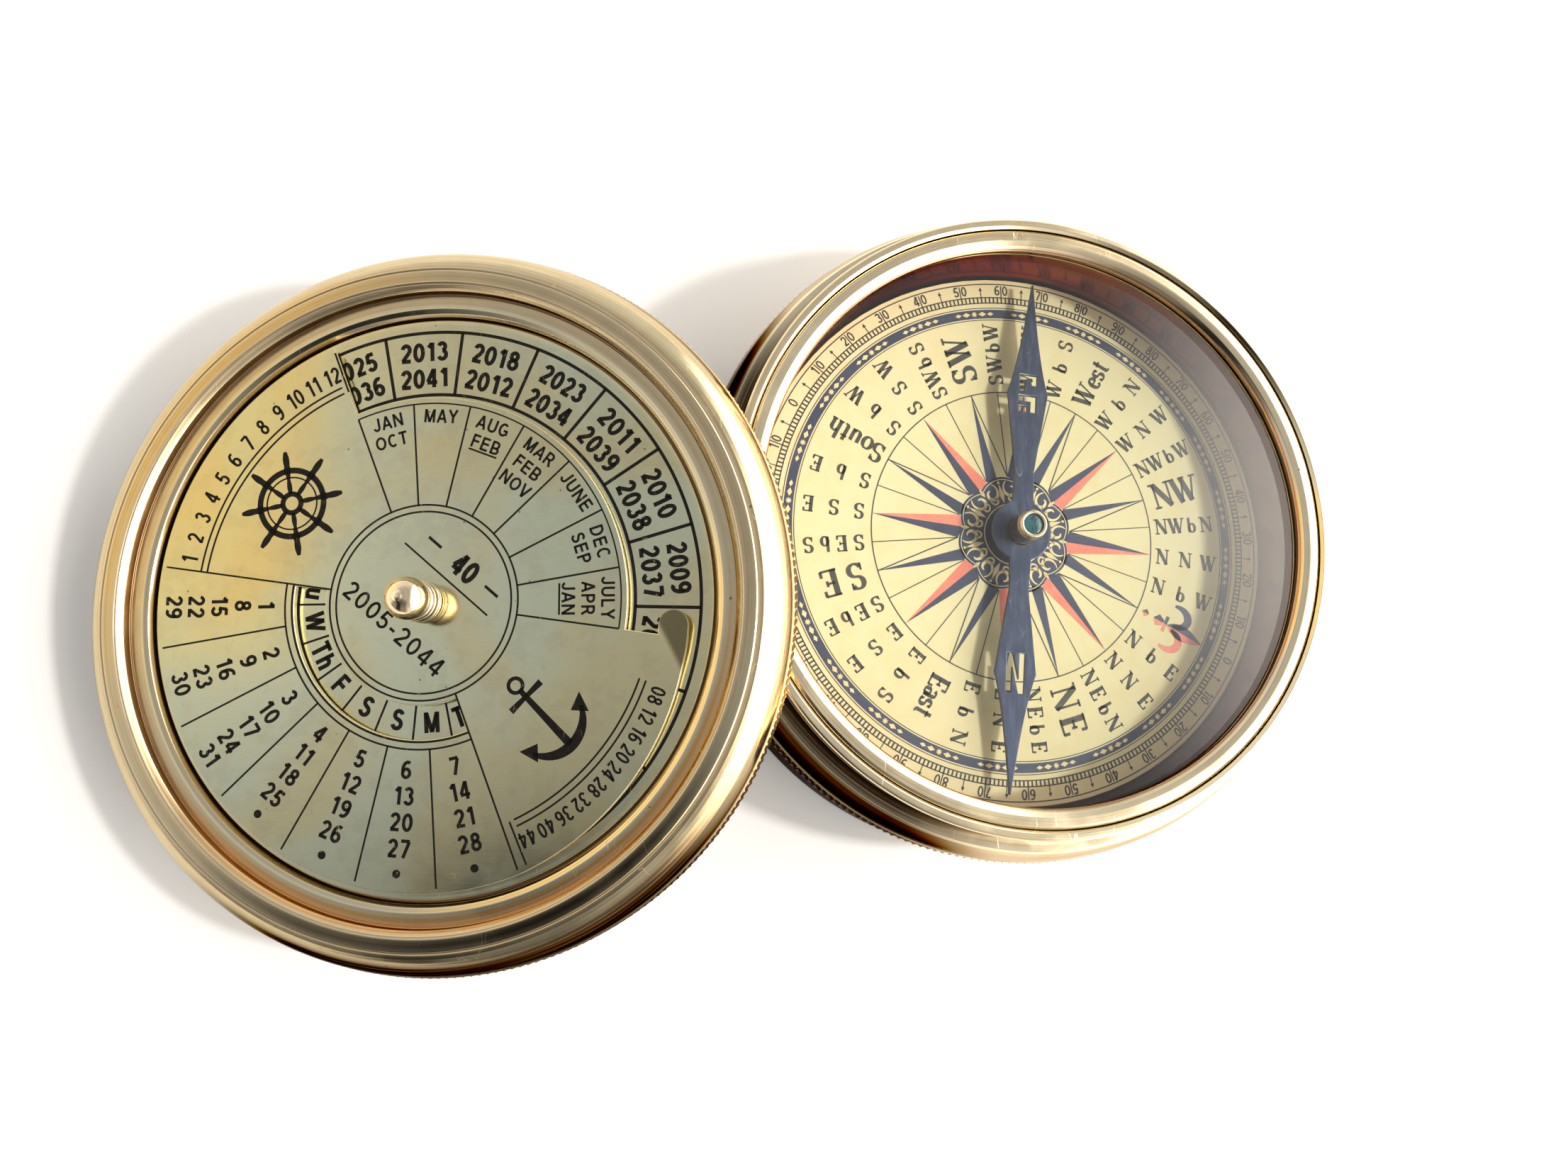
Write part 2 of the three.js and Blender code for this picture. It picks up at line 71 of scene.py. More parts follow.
@dataclass(frozen=True)
class Placement:
    """Where a sub-assembly's own frame lies in the row frame."""

    origin: Triple = (0.0, 0.0, 0.0)
    axis: Triple = (0.0, 0.0, 1.0)

    def turn(self) -> Array:
        """Rotation that leans +Z onto the axis about the level line square to both.

        Formula: identity plus the cross matrix K of z cross axis, plus K squared over one plus
        the axis's height.

        Returns:
            A 3 by 3 matrix.
        """
        x, y, z = np.array(self.axis) / np.linalg.norm(self.axis)
        k = np.array([[0, 0, x], [0, 0, y], [-x, -y, 0]])
        return np.eye(3) + k + k @ k / (1 + z)

    def put(self, points: Array) -> Array:
        """Points of the sub-assembly's frame in millimetres, as metres in the row frame."""
        return (points @ self.turn().T + np.array(self.origin)) * MM


@dataclass
class Form:
    """A closed surface: points, faces of four or three corners, and masks for its finish."""

    points: Array
    quads: Array = field(default_factory=lambda: np.zeros((0, 4), int))
    tris: Array = field(default_factory=lambda: np.zeros((0, 3), int))
    masks: dict[str, Array] = field(default_factory=dict)
    flat_tris: bool = False

    def radius(self) -> Array:
        """Distance of each point from the axis."""
        return np.hypot(*self.points[:, :2].T)


def unit(steps: Array) -> Array:
    """Vectors at a length of one."""
    return steps / np.maximum(np.linalg.norm(steps, axis=-1, keepdims=True), 1e-9)


def left(steps: Array) -> Array:
    """Flat vectors at a length of one, turned a quarter to the left."""
    return unit(steps)[..., ::-1] * [-1, 1]


def cross(first: Array, second: Array) -> Array:
    """Cross product of flat vectors: above zero where the second lies to the left of the first."""
    return first[..., 0] * second[..., 1] - first[..., 1] * second[..., 0]


def facing_up(points: Array, tris: Array) -> tuple[Array, Array]:
    """Flat triangles turned to face up, and twice the area of each."""
    a, b, c = (points[tris[:, k]] for k in range(3))
    area = cross(b - a, c - a)
    return np.where((area < 0)[:, None], tris[:, ::-1], tris), np.abs(area)


def profile(corners: Table, closed: bool, steps: int) -> tuple[Array, dict[str, Array]]:
    """Rounds the corners of a section and adds points beside them.

    Each corner becomes an arc that touches both its sides: it starts at rounding over the tangent
    of the half angle from the corner. Long sides get points near their ends and in the middle, so
    that smooth shading stays flat on them. Wear falls off with the distance from the nearest
    outer corner, and grime with that from the nearest inner one.

    Args:
        corners: Radius, height, rounding and tarnish-and-shade value of each, anticlockwise round the
            section. That value browns the metal, partly as tarnish and partly as painted shade.
        closed: False for a section that starts and ends on the axis.
        steps: Straight pieces in each rounded corner.

    Returns:
        Radius and height along the section's line, and its masks for edges and corners.
    """
    table = np.array([tuple(c) + (0.0,) * (4 - len(c)) for c in corners], float)
    spot, rounding, tone = table[:, :2], table[:, 2], table[:, 3]
    before, after = np.roll(spot, 1, 0) - spot, np.roll(spot, -1, 0) - spot
    u, v = unit(before), unit(after)
    half = np.arccos(np.clip((u * v).sum(1), -1, 1)) / 2
    if not closed:
        rounding = rounding * np.r_[0, np.ones(len(spot) - 2), 0]
    longest = 0.45 * np.minimum(np.linalg.norm(before, axis=1), np.linalg.norm(after, axis=1))
    length = np.minimum(rounding / np.maximum(np.tan(half), 1e-6), longest)
    length = np.where(half > math.pi / 2 - 1e-3, 0, length)
    start, end = spot + u * length[:, None], spot + v * length[:, None]
    centre = spot + unit(u + v) * (length / np.maximum(np.cos(half), 1e-6))[:, None]
    sweep = np.maximum(math.pi - 2 * half, 1e-6)[:, None, None]
    share = np.linspace(0, 1, steps + 1)[None, :, None]
    arms = (start - centre)[:, None], (end - centre)[:, None]
    swung = np.sin((1 - share) * sweep) * arms[0] + np.sin(share * sweep) * arms[1]
    arcs = centre[:, None] + swung / np.sin(sweep)
    arcs = np.where((length > 0)[:, None, None], arcs, spot[:, None])
    run = np.roll(start, -1, 0) - end
    span = np.linalg.norm(run, axis=1)
    near, far = np.minimum(0.15, 0.2 * span), np.minimum(0.5, 0.4 * span)
    places = np.stack([near, far, span / 2, span - far, span - near], 1)
    sides = end[:, None] + run[:, None] * (places / np.maximum(span, 1e-9)[:, None])[..., None]
    keep = np.concatenate([np.ones(arcs.shape[:2], bool), np.repeat(span[:, None] > 0.3, 5, 1)], 1)
    path = np.concatenate([arcs, sides], 1)
    on_sides = np.minimum(tone, np.roll(tone, -1))
    tones = np.concatenate([np.repeat(tone[:, None], steps + 1, 1), np.repeat(on_sides[:, None], 5, 1)], 1)
    if not closed:
        keep[-1, steps + 1 :] = False
    path, tones = path[keep], tones[keep]
    fresh = np.r_[True, np.linalg.norm(np.diff(path, axis=0), axis=1) > 1e-4]
    if closed:
        fresh[-1] &= np.linalg.norm(path[-1] - path[0]) > 1e-4
    path, tones = path[fresh], tones[fresh]
    bend = np.where(half < math.radians(80), -np.sign(cross(before, after)), 0)
    away = np.linalg.norm(path[:, None] - spot[None], axis=2)
    wear = np.exp(-np.where(bend[None] > 0, away, 99).min(1) / 0.22)
    grime = np.exp(-np.where(bend[None] < 0, away, 99).min(1) / 0.3)
    return path, {"wear": wear, "grime": grime, "tone": tones}


def grid_faces(rows: int, columns: int, wrap_rows: bool) -> Array:
    """Faces of a grid whose columns go once round the axis.

    Args:
        rows: Points along the section.
        columns: Points round the axis.
        wrap_rows: True if the last row joins the first.

    Returns:
        Four corners of each face, with the outside on the right of the section's direction.
    """
    i = np.arange(rows if wrap_rows else rows - 1)[:, None]
    j = np.arange(columns)[None]
    nxt_i, nxt_j = (i + 1) % rows, (j + 1) % columns
    corners = [i * columns + j, i * columns + nxt_j, nxt_i * columns + nxt_j, nxt_i * columns + j]
    return np.stack(corners, -1).reshape(-1, 4)


def turned(
    corners: Table,
    columns: int = 256,
    relief: Relief | None = None,
    closed: bool = True,
    steps: int = 2,
) -> Form:
    """Carries a section round the axis: a point is radius times cosine, radius times sine, height.

    Args:
        corners: The section's corners, as for profile.
        columns: Points round the axis.
        relief: Change of radius as a function of radius, height and angle.
        closed: False for a section whose ends lie on the axis. They are closed with a fan.
        steps: Straight pieces in each rounded corner.

    Returns:
        The turned surface.
    """
    line, along = profile(corners, closed, steps)
    inner = slice(None) if closed else slice(1, -1)
    path = line[inner]
    angle = np.linspace(0, 2 * math.pi, columns, endpoint=False)[None]
    radius, height = np.repeat(path[:, :1], columns, 1), np.repeat(path[:, 1:], columns, 1)
    if relief is not None:
        radius = radius + relief(radius, height, np.broadcast_to(angle, radius.shape))
    points = np.stack([radius * np.cos(angle), radius * np.sin(angle), height], -1).reshape(-1, 3)
    masks = {name: np.repeat(mask[inner], columns) for name, mask in along.items()}
    quads = grid_faces(len(path), columns, closed)
    if closed:
        return Form(points, quads, masks=masks)
    first, last = len(points), len(points) + 1
    poles = line[[0, -1]][:, [0, 0, 1]] * [0, 0, 1]
    j = np.arange(columns)
    nxt, top = (j + 1) % columns, (len(path) - 1) * columns
    fan = [
        np.stack([np.full(columns, first), nxt, j], -1),
        np.stack([top + j, top + nxt, np.full(columns, last)], -1),
    ]
    masks = {name: np.concatenate([mask, along[name][[0, -1]]]) for name, mask in masks.items()}
    return Form(np.concatenate([points, poles]), quads, np.concatenate(fan), masks)


def patina(form: Form, side: float, reach: float, fade: float) -> Array:
    """Share that is 1 up to a reach from an azimuth and eases to 0 over the fade beyond.

    Args:
        form: The piece.
        side: The azimuth in degrees.
        reach: Degrees of the full share to either side.
        fade: Degrees in which it eases to 0.

    Returns:
        The share at each point.
    """
    angle = np.degrees(np.arctan2(form.points[:, 1], form.points[:, 0]))
    away = np.abs((angle - side + 180) % 360 - 180)
    share = np.clip((reach + fade - away) / fade, 0, 1)
    return share**2 * (3 - 2 * share)


def polar(radius: float | Array, degrees: float | Array) -> Array:
    """Flat points at distances and angles from the origin."""
    angle = np.radians(degrees)
    return np.stack([radius * np.cos(angle), radius * np.sin(angle)], -1)


def arc_points(radius: float, start: float, end: float, count: int) -> Array:
    """Points of an arc round the origin, from one angle in degrees to another, ends included."""
    return polar(radius, np.linspace(start, end, count))


def spun(points: Array, degrees: float) -> Array:
    """Flat points turned about the origin."""
    a = math.radians(degrees)
    return points @ np.array([[math.cos(a), math.sin(a)], [-math.sin(a), math.cos(a)]])


def inset(loop: Array, width: float) -> Array:
    """A closed flat loop moved to its left by a width, square to its sides.

    Formula: each corner moves along the sum of its two sides' left normals, over one plus the
    cosine between them.
    """
    normal = left(np.roll(loop, -1, 0) - loop)
    past = np.roll(normal, 1, 0)
    spread = np.maximum(1 + (normal * past).sum(1), 0.5)[:, None]
    return loop + (normal + past) / spread * width


def enclosed(spots: Array, loops: Sequence[Array]) -> Array:
    """Which spots lie inside: a line towards +X crosses the loops an odd number of times.

    Args:
        spots: Flat points.
        loops: Closed flat loops, the outer one and the holes.

    Returns:
        True for each spot inside.
    """
    crossings = np.zeros(len(spots), int)
    x, y = spots[:, :1], spots[:, 1:]
    for start in loops:
        end = np.roll(start, -1, 0)
        rise = end[:, 1] - start[:, 1]
        spans = (start[:, 1] > y) != (end[:, 1] > y)
        run = (y - start[:, 1]) * (end[:, 0] - start[:, 0])
        meets = start[:, 0] + run / np.where(rise == 0, 1, rise)
        crossings += (spans & (meets > x)).sum(1)
    return crossings % 2 == 1


def sheet(
    outline: Array,
    holes: Sequence[Array],
    bottom: float,
    top: float,
    rounding: float,
    folds: Sequence[Sequence[Array]] = (),
) -> Form:
    """A flat plate with rounded edges.

    A quarter round is carried along each loop, then both faces are filled.

    Args:
        outline: The outer loop, anticlockwise.
        holes: Inner loops, clockwise.
        bottom: Height of the lower face.
        top: Height of the upper face.
        rounding: Radius of the edges.
        folds: Lines across the faces that the filling follows.

    Returns:
        The plate.
    """
    turn = np.linspace(0, math.pi / 2, 4)
    ring_in = rounding * (1 - np.cos(turn))
    ring_up = rounding * (1 - np.sin(turn))
    offsets = np.r_[ring_in[::-1], ring_in]
    heights = np.r_[bottom + ring_up[::-1], top - ring_up]
    points, quads, loops, count = [], [], [], 0
    for loop in [outline, *holes]:
        rows = np.stack([np.c_[inset(loop, o), np.full(len(loop), h)] for o, h in zip(offsets, heights)])
        points.append(rows.reshape(-1, 3))
        quads.append(grid_faces(len(rows), len(loop), False) + count)
        loops.append((count, count + (len(rows) - 1) * len(loop), len(loop)))
        count += rows.shape[0] * len(loop)
    everything = np.concatenate(points)
    lower = np.concatenate([np.arange(low, low + n) for low, _, n in loops])
    upper = np.concatenate([np.arange(high, high + n) for _, high, n in loops])
    flat = everything[upper, :2]
    sizes = np.cumsum([0] + [n for _, _, n in loops])
    edges = [
        (int(a), int(b))
        for first, last in zip(sizes[:-1], sizes[1:])
        for a, b in zip(range(first, last), np.roll(np.arange(first, last), -1))
    ]
    for fold in folds:
        ends = [int(np.linalg.norm(flat - end, axis=1).argmin()) for end in fold]
        edges.append((ends[0], ends[1]))
    made = delaunay_2d_cdt([tuple(p) for p in flat], edges, [], 1, 1e-6)
    source = np.array([origins[0] for origins in made[3]])
    tris = source[np.array(made[2])]
    tris = tris[enclosed(flat[tris].mean(1), [flat[a:b] for a, b in zip(sizes[:-1], sizes[1:])])]
    tris, _ = facing_up(flat, tris)
    caps = np.concatenate([upper[tris], lower[tris][:, ::-1]])
    height = everything[:, 2]
    wear = ((height < top - 1e-6) & (height > bottom + 1e-6)).astype(float)
    return Form(everything, np.concatenate(quads), caps, {"wear": wear}, flat_tris=True)


class Print:
    """Flat marks collected on one surface and made into a thin closed layer."""

    def __init__(self) -> None:
        """Starts with no marks."""
        self.points: list[Array] = []
        self.tris: list[Array] = []
        self.count = 0

    def add(self, points: Array, tris: Array) -> None:
        """Adds flat points and their triangles, turned to face up."""
        tris, area = facing_up(points, tris)
        self.points.append(points)
        self.tris.append(tris[area > 1e-9] + self.count)
        self.count += len(points)

    def band(self, left: Array, right: Array) -> None:
        """Adds the strip between two lines of as many points."""
        n = len(left)
        i = np.arange(n - 1)
        tris = np.concatenate([np.stack([i, i + 1, i + n], -1), np.stack([i + 1, i + n + 1, i + n], -1)])
        self.add(np.concatenate([left, right]), tris)

    def ring(self, inner: float, outer: float, start: float = 0, end: float = 360) -> None:
        """Adds a band between two radii, from one angle to another."""
        count = max(3, int(abs(end - start) / 1.5) + 1)
        self.band(arc_points(outer, start, end, count), arc_points(inner, start, end, count))

    def line(self, radius: float, width: float, start: float = 0, end: float = 360) -> None:
        """Adds an arc line of a width, centred on a radius."""
        self.ring(radius - width / 2, radius + width / 2, start, end)

    def spoke(self, inner: float, outer: float, degrees: float, width: float) -> None:
        """Adds a radial line of a width."""
        side = np.array([[inner, width / 2], [outer, width / 2]])
        self.band(spun(side * [1, -1], degrees), spun(side, degrees))

    def shape(self, outline: Array) -> None:
        """Adds a filled loop whose middle sees all its corners."""
        n = len(outline)
        i = np.arange(n)
        tris = np.stack([i, (i + 1) % n, np.full(n, n)], -1)
        self.add(np.concatenate([outline, outline.mean(0)[None]]), tris)

    def stamp(self, mark: "Print", at: Array, degrees: float = 0.0, scale: float = 1.0) -> None:
        """Adds another print's marks, scaled, turned and moved to a place."""
        self.add(spun(np.concatenate(mark.points) * scale, degrees) + at, np.concatenate(mark.tris))

    def stroke(self, centre: Array, width: float | Array) -> None:
        """Adds a line whose sides lie half its width to the left and the right of its centre."""
        reach = left(np.gradient(centre, axis=0)) * np.reshape(width, (-1, 1)) / 2
        self.band(centre + reach, centre - reach)

    def form(self, bottom: float, top: float) -> Form:
        """The layer between two heights, with walls along every open edge.

        Args:
            bottom: Height of its underside.
            top: Height of its face.

        Returns:
            A closed form.
        """
        points, tris = np.concatenate(self.points), np.concatenate(self.tris)
        n = len(points)
        edges = np.concatenate([tris[:, [0, 1]], tris[:, [1, 2]], tris[:, [2, 0]]])
        open_edge = ~np.isin(edges[:, 0] * n + edges[:, 1], edges[:, 1] * n + edges[:, 0])
        a, b = edges[open_edge].T
        walls = np.stack([a, a + n, b + n, b], -1)
        layers = np.concatenate([np.c_[points, np.full(n, top)], np.c_[points, np.full(n, bottom)]])
        return Form(layers, walls, np.concatenate([tris, tris[:, ::-1] + n]), flat_tris=True)


# Lettering


def oval(x: float, y: float, rx: float, ry: float, start: float, end: float) -> Array:
    """A stretch of an ellipse round a place, from one angle in degrees to another."""
    a = np.radians(np.linspace(start, end, 17))
    return np.stack([x + rx * np.cos(a), y + ry * np.sin(a)], -1)


def centre_line(row: Sequence[float]) -> Array:
    """The middle of a stroke: six numbers are a stretch of an oval, fewer start with a line's two ends."""
    return oval(*row) if len(row) == 6 else np.linspace(row[:2], row[2:4], 3)


class Rows(Enum):
    """Which way a line of type stands that is set round the origin: its turn from its angle."""

    OUTWARDS = -90
    INWARDS = 90


class PlainType:
    """Upright sans letters and figures: centre lines of one width, on a capital height of 1."""

    gap = 0.13

    def __init__(self) -> None:
        """Draws each letter as its width and its centre lines."""
        low, mid, high, full = 0.075, 0.5, 0.925, (-180, 180)
        stem, cee = (0.1, 0, 0.1, 1), (0.36, mid, 0.27, 0.425, 48, 312)
        bowl = (stem, (0.1, high, 0.34, high), (0.1, 0.46, 0.34, 0.46), (0.34, 0.692, 0.19, 0.233, 90, -90))
        rows = {
            "0": (0.6, (0.3, mid, 0.22, 0.425, *full)),
            "1": (0.46, (0.32, 0, 0.32, 1), (0.3, 0.97, 0.1, 0.74)),
            "2": (0.58, (0.29, 0.69, 0.2, 0.235, 168, -38), (0.448, 0.545, 0.1, 0.09),
                  (0.05, low, 0.54, low)),
            "3": (0.58, (0.27, 0.735, 0.18, 0.19, 160, -85), (0.28, 0.3, 0.21, 0.225, 85, -160)),
            "4": (0.6, (0.39, 0.98, 0.06, 0.31), (0.03, 0.27, 0.58, 0.27), (0.41, 0, 0.41, 1)),
            "5": (0.58, (0.14, high, 0.52, high), (0.17, 0.95, 0.11, 0.46),
                  (0.28, 0.32, 0.215, 0.245, 142, -155)),
            "6": (0.6, (0.3, 0.31, 0.21, 0.235, *full), (0.36, mid, 0.265, 0.425, 62, 205)),
            "7": (0.58, (0.04, high, 0.54, high), (0.52, 0.9, 0.22, 0)),
            "8": (0.6, (0.3, 0.735, 0.175, 0.19, *full), (0.3, 0.297, 0.215, 0.222, *full)),
            "A": (0.68, (0.05, 0, 0.34, 1), (0.63, 0, 0.34, 1), (0.14, 0.3, 0.54, 0.3)),
            "B": (0.64, *bowl, (0.1, low, 0.36, low), (0.36, 0.275, 0.2, 0.2, 90, -90)),
            "C": (0.68, cee),
            "D": (0.7, stem, (0.1, high, 0.3, high), (0.1, low, 0.3, low), (0.3, mid, 0.3, 0.425, 90, -90)),
            "E": (0.62, stem, *[(0.1, y, 0.57, y) for y in (low, 0.52, high)]),
            "F": (0.58, stem, *[(0.1, y, 0.54, y) for y in (mid, high)]),
            "G": (0.74, cee, (0.38, 0.44, 0.67, 0.44), (0.62, 0.46, 0.62, 0.12)),
            "J": (0.5, (0.4, 1, 0.4, 0.27), (0.225, 0.27, 0.175, 0.195, 0, -175)),
            "L": (0.56, stem, (0.1, low, 0.54, low)),
            "M": (0.8, stem, (0.7, 0, 0.7, 1), (0.12, 0.97, 0.4, 0.03), (0.68, 0.97, 0.4, 0.03)),
            "N": (0.72, stem, (0.62, 0, 0.62, 1), (0.12, 0.95, 0.6, 0.05)),
            "O": (0.76, (0.38, mid, 0.3, 0.425, *full)),
            "P": (0.62, *bowl),
            "R": (0.68, *bowl, (0.36, 0.46, 0.6, 0.0)),
            "T": (0.62, (0.02, high, 0.6, high), (0.31, 0, 0.31, 1)),
            "U": (0.7, (0.1, 1, 0.1, 0.33), (0.6, 1, 0.6, 0.33), (0.35, 0.33, 0.25, 0.255, 180, 360)),
            "V": (0.66, (0.05, 1, 0.33, 0), (0.61, 1, 0.33, 0)),
            "W": (0.94, (0.05, 1, 0.26, 0.02), (0.26, 0.02, 0.47, 0.98), (0.47, 0.98, 0.68, 0.02),
                  (0.68, 0.02, 0.89, 1)),
            "Y": (0.66, (0.05, 1, 0.33, 0.45), (0.61, 1, 0.33, 0.45), (0.33, 0.48, 0.33, 0)),
            "h": (0.58, stem, (0.28, 0.46, 0.18, 0.19, 0, 175), (0.46, 0.48, 0.46, 0)),
            "u": (0.58, (0.1, 0.72, 0.1, 0.24), (0.28, 0.25, 0.18, 0.18, 180, 350), (0.46, 0.72, 0.46, 0)),
            "-": (0.36, (0.04, 0.38, 0.32, 0.38)),
        }
        self.letters = {
            mark: (width, [centre_line(part) for part in parts]) for mark, (width, *parts) in rows.items()
        }
        self.letters["9"] = (0.6, [np.array([0.6, 1.0]) - part for part in self.letters["6"][1]])
        ess = oval(0.31, 0.728, 0.2, 0.197, 20, 262), oval(0.31, 0.292, 0.22, 0.217, 85, -165)
        self.letters["S"] = (0.62, [np.concatenate(ess)])

    def write(
        self,
        into: Print,
        text: str,
        height: float,
        at: Array,
        degrees: float,
        pen: float = 0.15,
        squeeze: float = 0.95,
        length: float = 0.0,
    ) -> None:
        """Prints a line of type centred on a place.

        Args:
            into: The print.
            text: The letters.
            height: Height of a capital.
            at: Centre of the line of type.
            degrees: Direction in which it reads.
            pen: Width of the strokes, as a share of the height.
            squeeze: Width as a share of the drawn one.
            length: Length that the line is fitted to, in place of the squeeze.
        """
        widths = np.array([self.letters[mark][0] for mark in text])
        starts = np.cumsum(np.r_[0, widths[:-1] + self.gap])
        total = starts[-1] + widths[-1]
        across = length / total if length else height * squeeze
        for mark, start in zip(text, starts):
            for centre in self.letters[mark][1]:
                placed = (centre + [start - total / 2, -0.5]) * [across, height]
                into.stroke(spun(placed, degrees) + at, pen * height)

    def write_round(
        self,
        into: Print,
        text: str,
        height: float,
        radius: float,
        degrees: float,
        rows: Rows,
        **manner: float,
    ) -> None:
        """Prints a line of type centred at a radius and an angle, otherwise in the manner of write."""
        self.write(into, text, height, polar(radius, degrees), degrees + rows.value, **manner)


class SerifType:
    """Book letters drawn as centre lines whose width follows a flat pen."""

    thin = 0.085
    thick = 0.23
    squeeze = 0.92

    def __init__(self) -> None:
        """Draws each letter on a capital height of 1. Five numbers are a straight line and its width."""
        hair, stem, book = self.thin, self.thick, self.thick * 0.8
        rows = {
            "N": (1.0, (0.17, 0, 0.17, 1, hair), (0.17, 0.97, 0.83, 0.02, stem), (0.83, 0, 0.83, 1, hair),
                  self.bar(0.17, 0), self.bar(0.83, 0.94), self.bar(0.1, 0.94)),
            "E": (0.82, (0.24, 0, 0.24, 1, stem), (0.08, 0.97, 0.74, 0.97, hair),
                  (0.24, 0.51, 0.56, 0.51, hair),
                  (0.08, 0.03, 0.76, 0.03, hair), (0.72, 0.98, 0.72, 0.76, hair * 1.4),
                  (0.74, 0.02, 0.74, 0.26, hair * 1.4), (0.56, 0.4, 0.56, 0.62, hair * 1.2)),
            "W": (1.35, (0.17, 1, 0.45, 0, stem), (0.45, 0, 0.68, 0.96, hair), (0.62, 1, 0.9, 0, stem),
                  (0.9, 0, 1.17, 0.96, hair), *[self.bar(x, 0.94) for x in (0.16, 0.66, 1.18)]),
            "b": (0.66, (0.16, 0.02, 0.16, 1, book), (0.36, 0.31, 0.22, 0.29, -180, 180)),
            "o": (0.66, (0.33, 0.32, 0.25, 0.3, -180, 180)),
            "h": (0.76, (0.18, 0, 0.18, 1, book), (0.38, 0.42, 0.18, 0.2, 0, 150),
                  (0.56, 0.44, 0.56, 0, book),
                  self.bar(0.18, 0), self.bar(0.56, 0)),
            "u": (0.76, (0.2, 0.62, 0.2, 0.2, book), (0.38, 0.22, 0.18, 0.2, 180, 340),
                  (0.58, 0.64, 0.58, 0, book)),
            "t": (0.46, (0.2, 0.86, 0.2, 0.14, book), (0.32, 0.14, 0.12, 0.13, 180, 300),
                  (0.05, 0.62, 0.4, 0.62, hair)),
            "e": (0.6, (0.1, 0.36, 0.5, 0.36, hair), (0.3, 0.33, 0.21, 0.3, 5, 320)),
            "a": (0.62, (0.26, 0.17, 0.16, 0.16, -180, 180), (0.46, 0.46, 0.46, 0.02, book),
                  (0.29, 0.46, 0.17, 0.17, 0, 160)),
        }
        self.letters = {
            mark: (width, [(centre_line(p), p[4] if len(p) == 5 else None) for p in parts])
            for mark, (width, *parts) in rows.items()
        }
        self.letters["S"] = (0.72, self.ess(1.0))
        self.letters["s"] = (0.54, self.ess(0.64))

    def bar(self, x: float, y: float) -> tuple[float, ...]:
        """A short level serif over a place."""
        return x - 0.15, y + 0.03, x + 0.15, y + 0.03, self.thin

    def ess(self, size: float) -> list[tuple[Array, float | None]]:
        """The double curve of an S: two three-quarter ellipses, one over the other, with two serifs."""
        halves = oval(0.36, 0.74, 0.24, 0.23, 25, 265), oval(0.36, 0.27, 0.26, 0.24, 95, -155)
        serifs = [centre_line(end) * size for end in ((0.6, 0.98, 0.6, 0.72), (0.1, 0.02, 0.1, 0.3))]
        return [(np.concatenate(halves) * size, None), *[(serif, self.thin) for serif in serifs]]

    def letter(self, into: Print, mark: str, height: float, along: float, degrees: float) -> None:
        """Prints one letter centred at a radius, reading outwards along an azimuth.

        Args:
            into: The print.
            mark: The letter.
            height: Height of a capital.
            along: Radius of its centre.
            degrees: Azimuth in which it reads.
        """
        width, strokes = self.letters[mark]
        for centre, pen in strokes:
            lean = np.abs(unit(np.gradient(centre, axis=0))[:, 1])
            pens = self.thin + (self.thick * 0.9 - self.thin) * lean**1.5 if pen is None else pen
            placed = (centre - [width / 2, 0.5]) * height * [self.squeeze, 1] + [along, 0]
            into.stroke(spun(placed, degrees), pens * height)

    def spread(self, into: Print, text: str, height: float, start: float, end: float, degrees: float) -> None:
        """Prints letters reading outwards, their centres evenly spread between two radii."""
        for mark, along in zip(text, np.linspace(start, end, len(text))):
            self.letter(into, mark, height, along, degrees)

    def word(self, into: Print, text: str, height: float, middle: float, degrees: float) -> None:
        """Prints a word reading outwards, set by the letters' own widths.

        Args:
            into: The print.
            text: The word.
            height: Height of a capital.
            middle: Radius of its centre.
            degrees: Azimuth in which it reads.
        """
        widths = np.array([self.letters[mark][0] for mark in text]) * height * self.squeeze
        starts = np.cumsum(np.r_[0, widths[:-1]]) - widths.sum() / 2 + middle
        for mark, start, width in zip(text, starts, widths):
            self.letter(into, mark, height, start + width / 2, degrees)


# Finishes


class Source(Enum):
    """Where a finish reads its place from: the form's own frame, or the row frame."""

    OWN = 0
    FRAME = 1


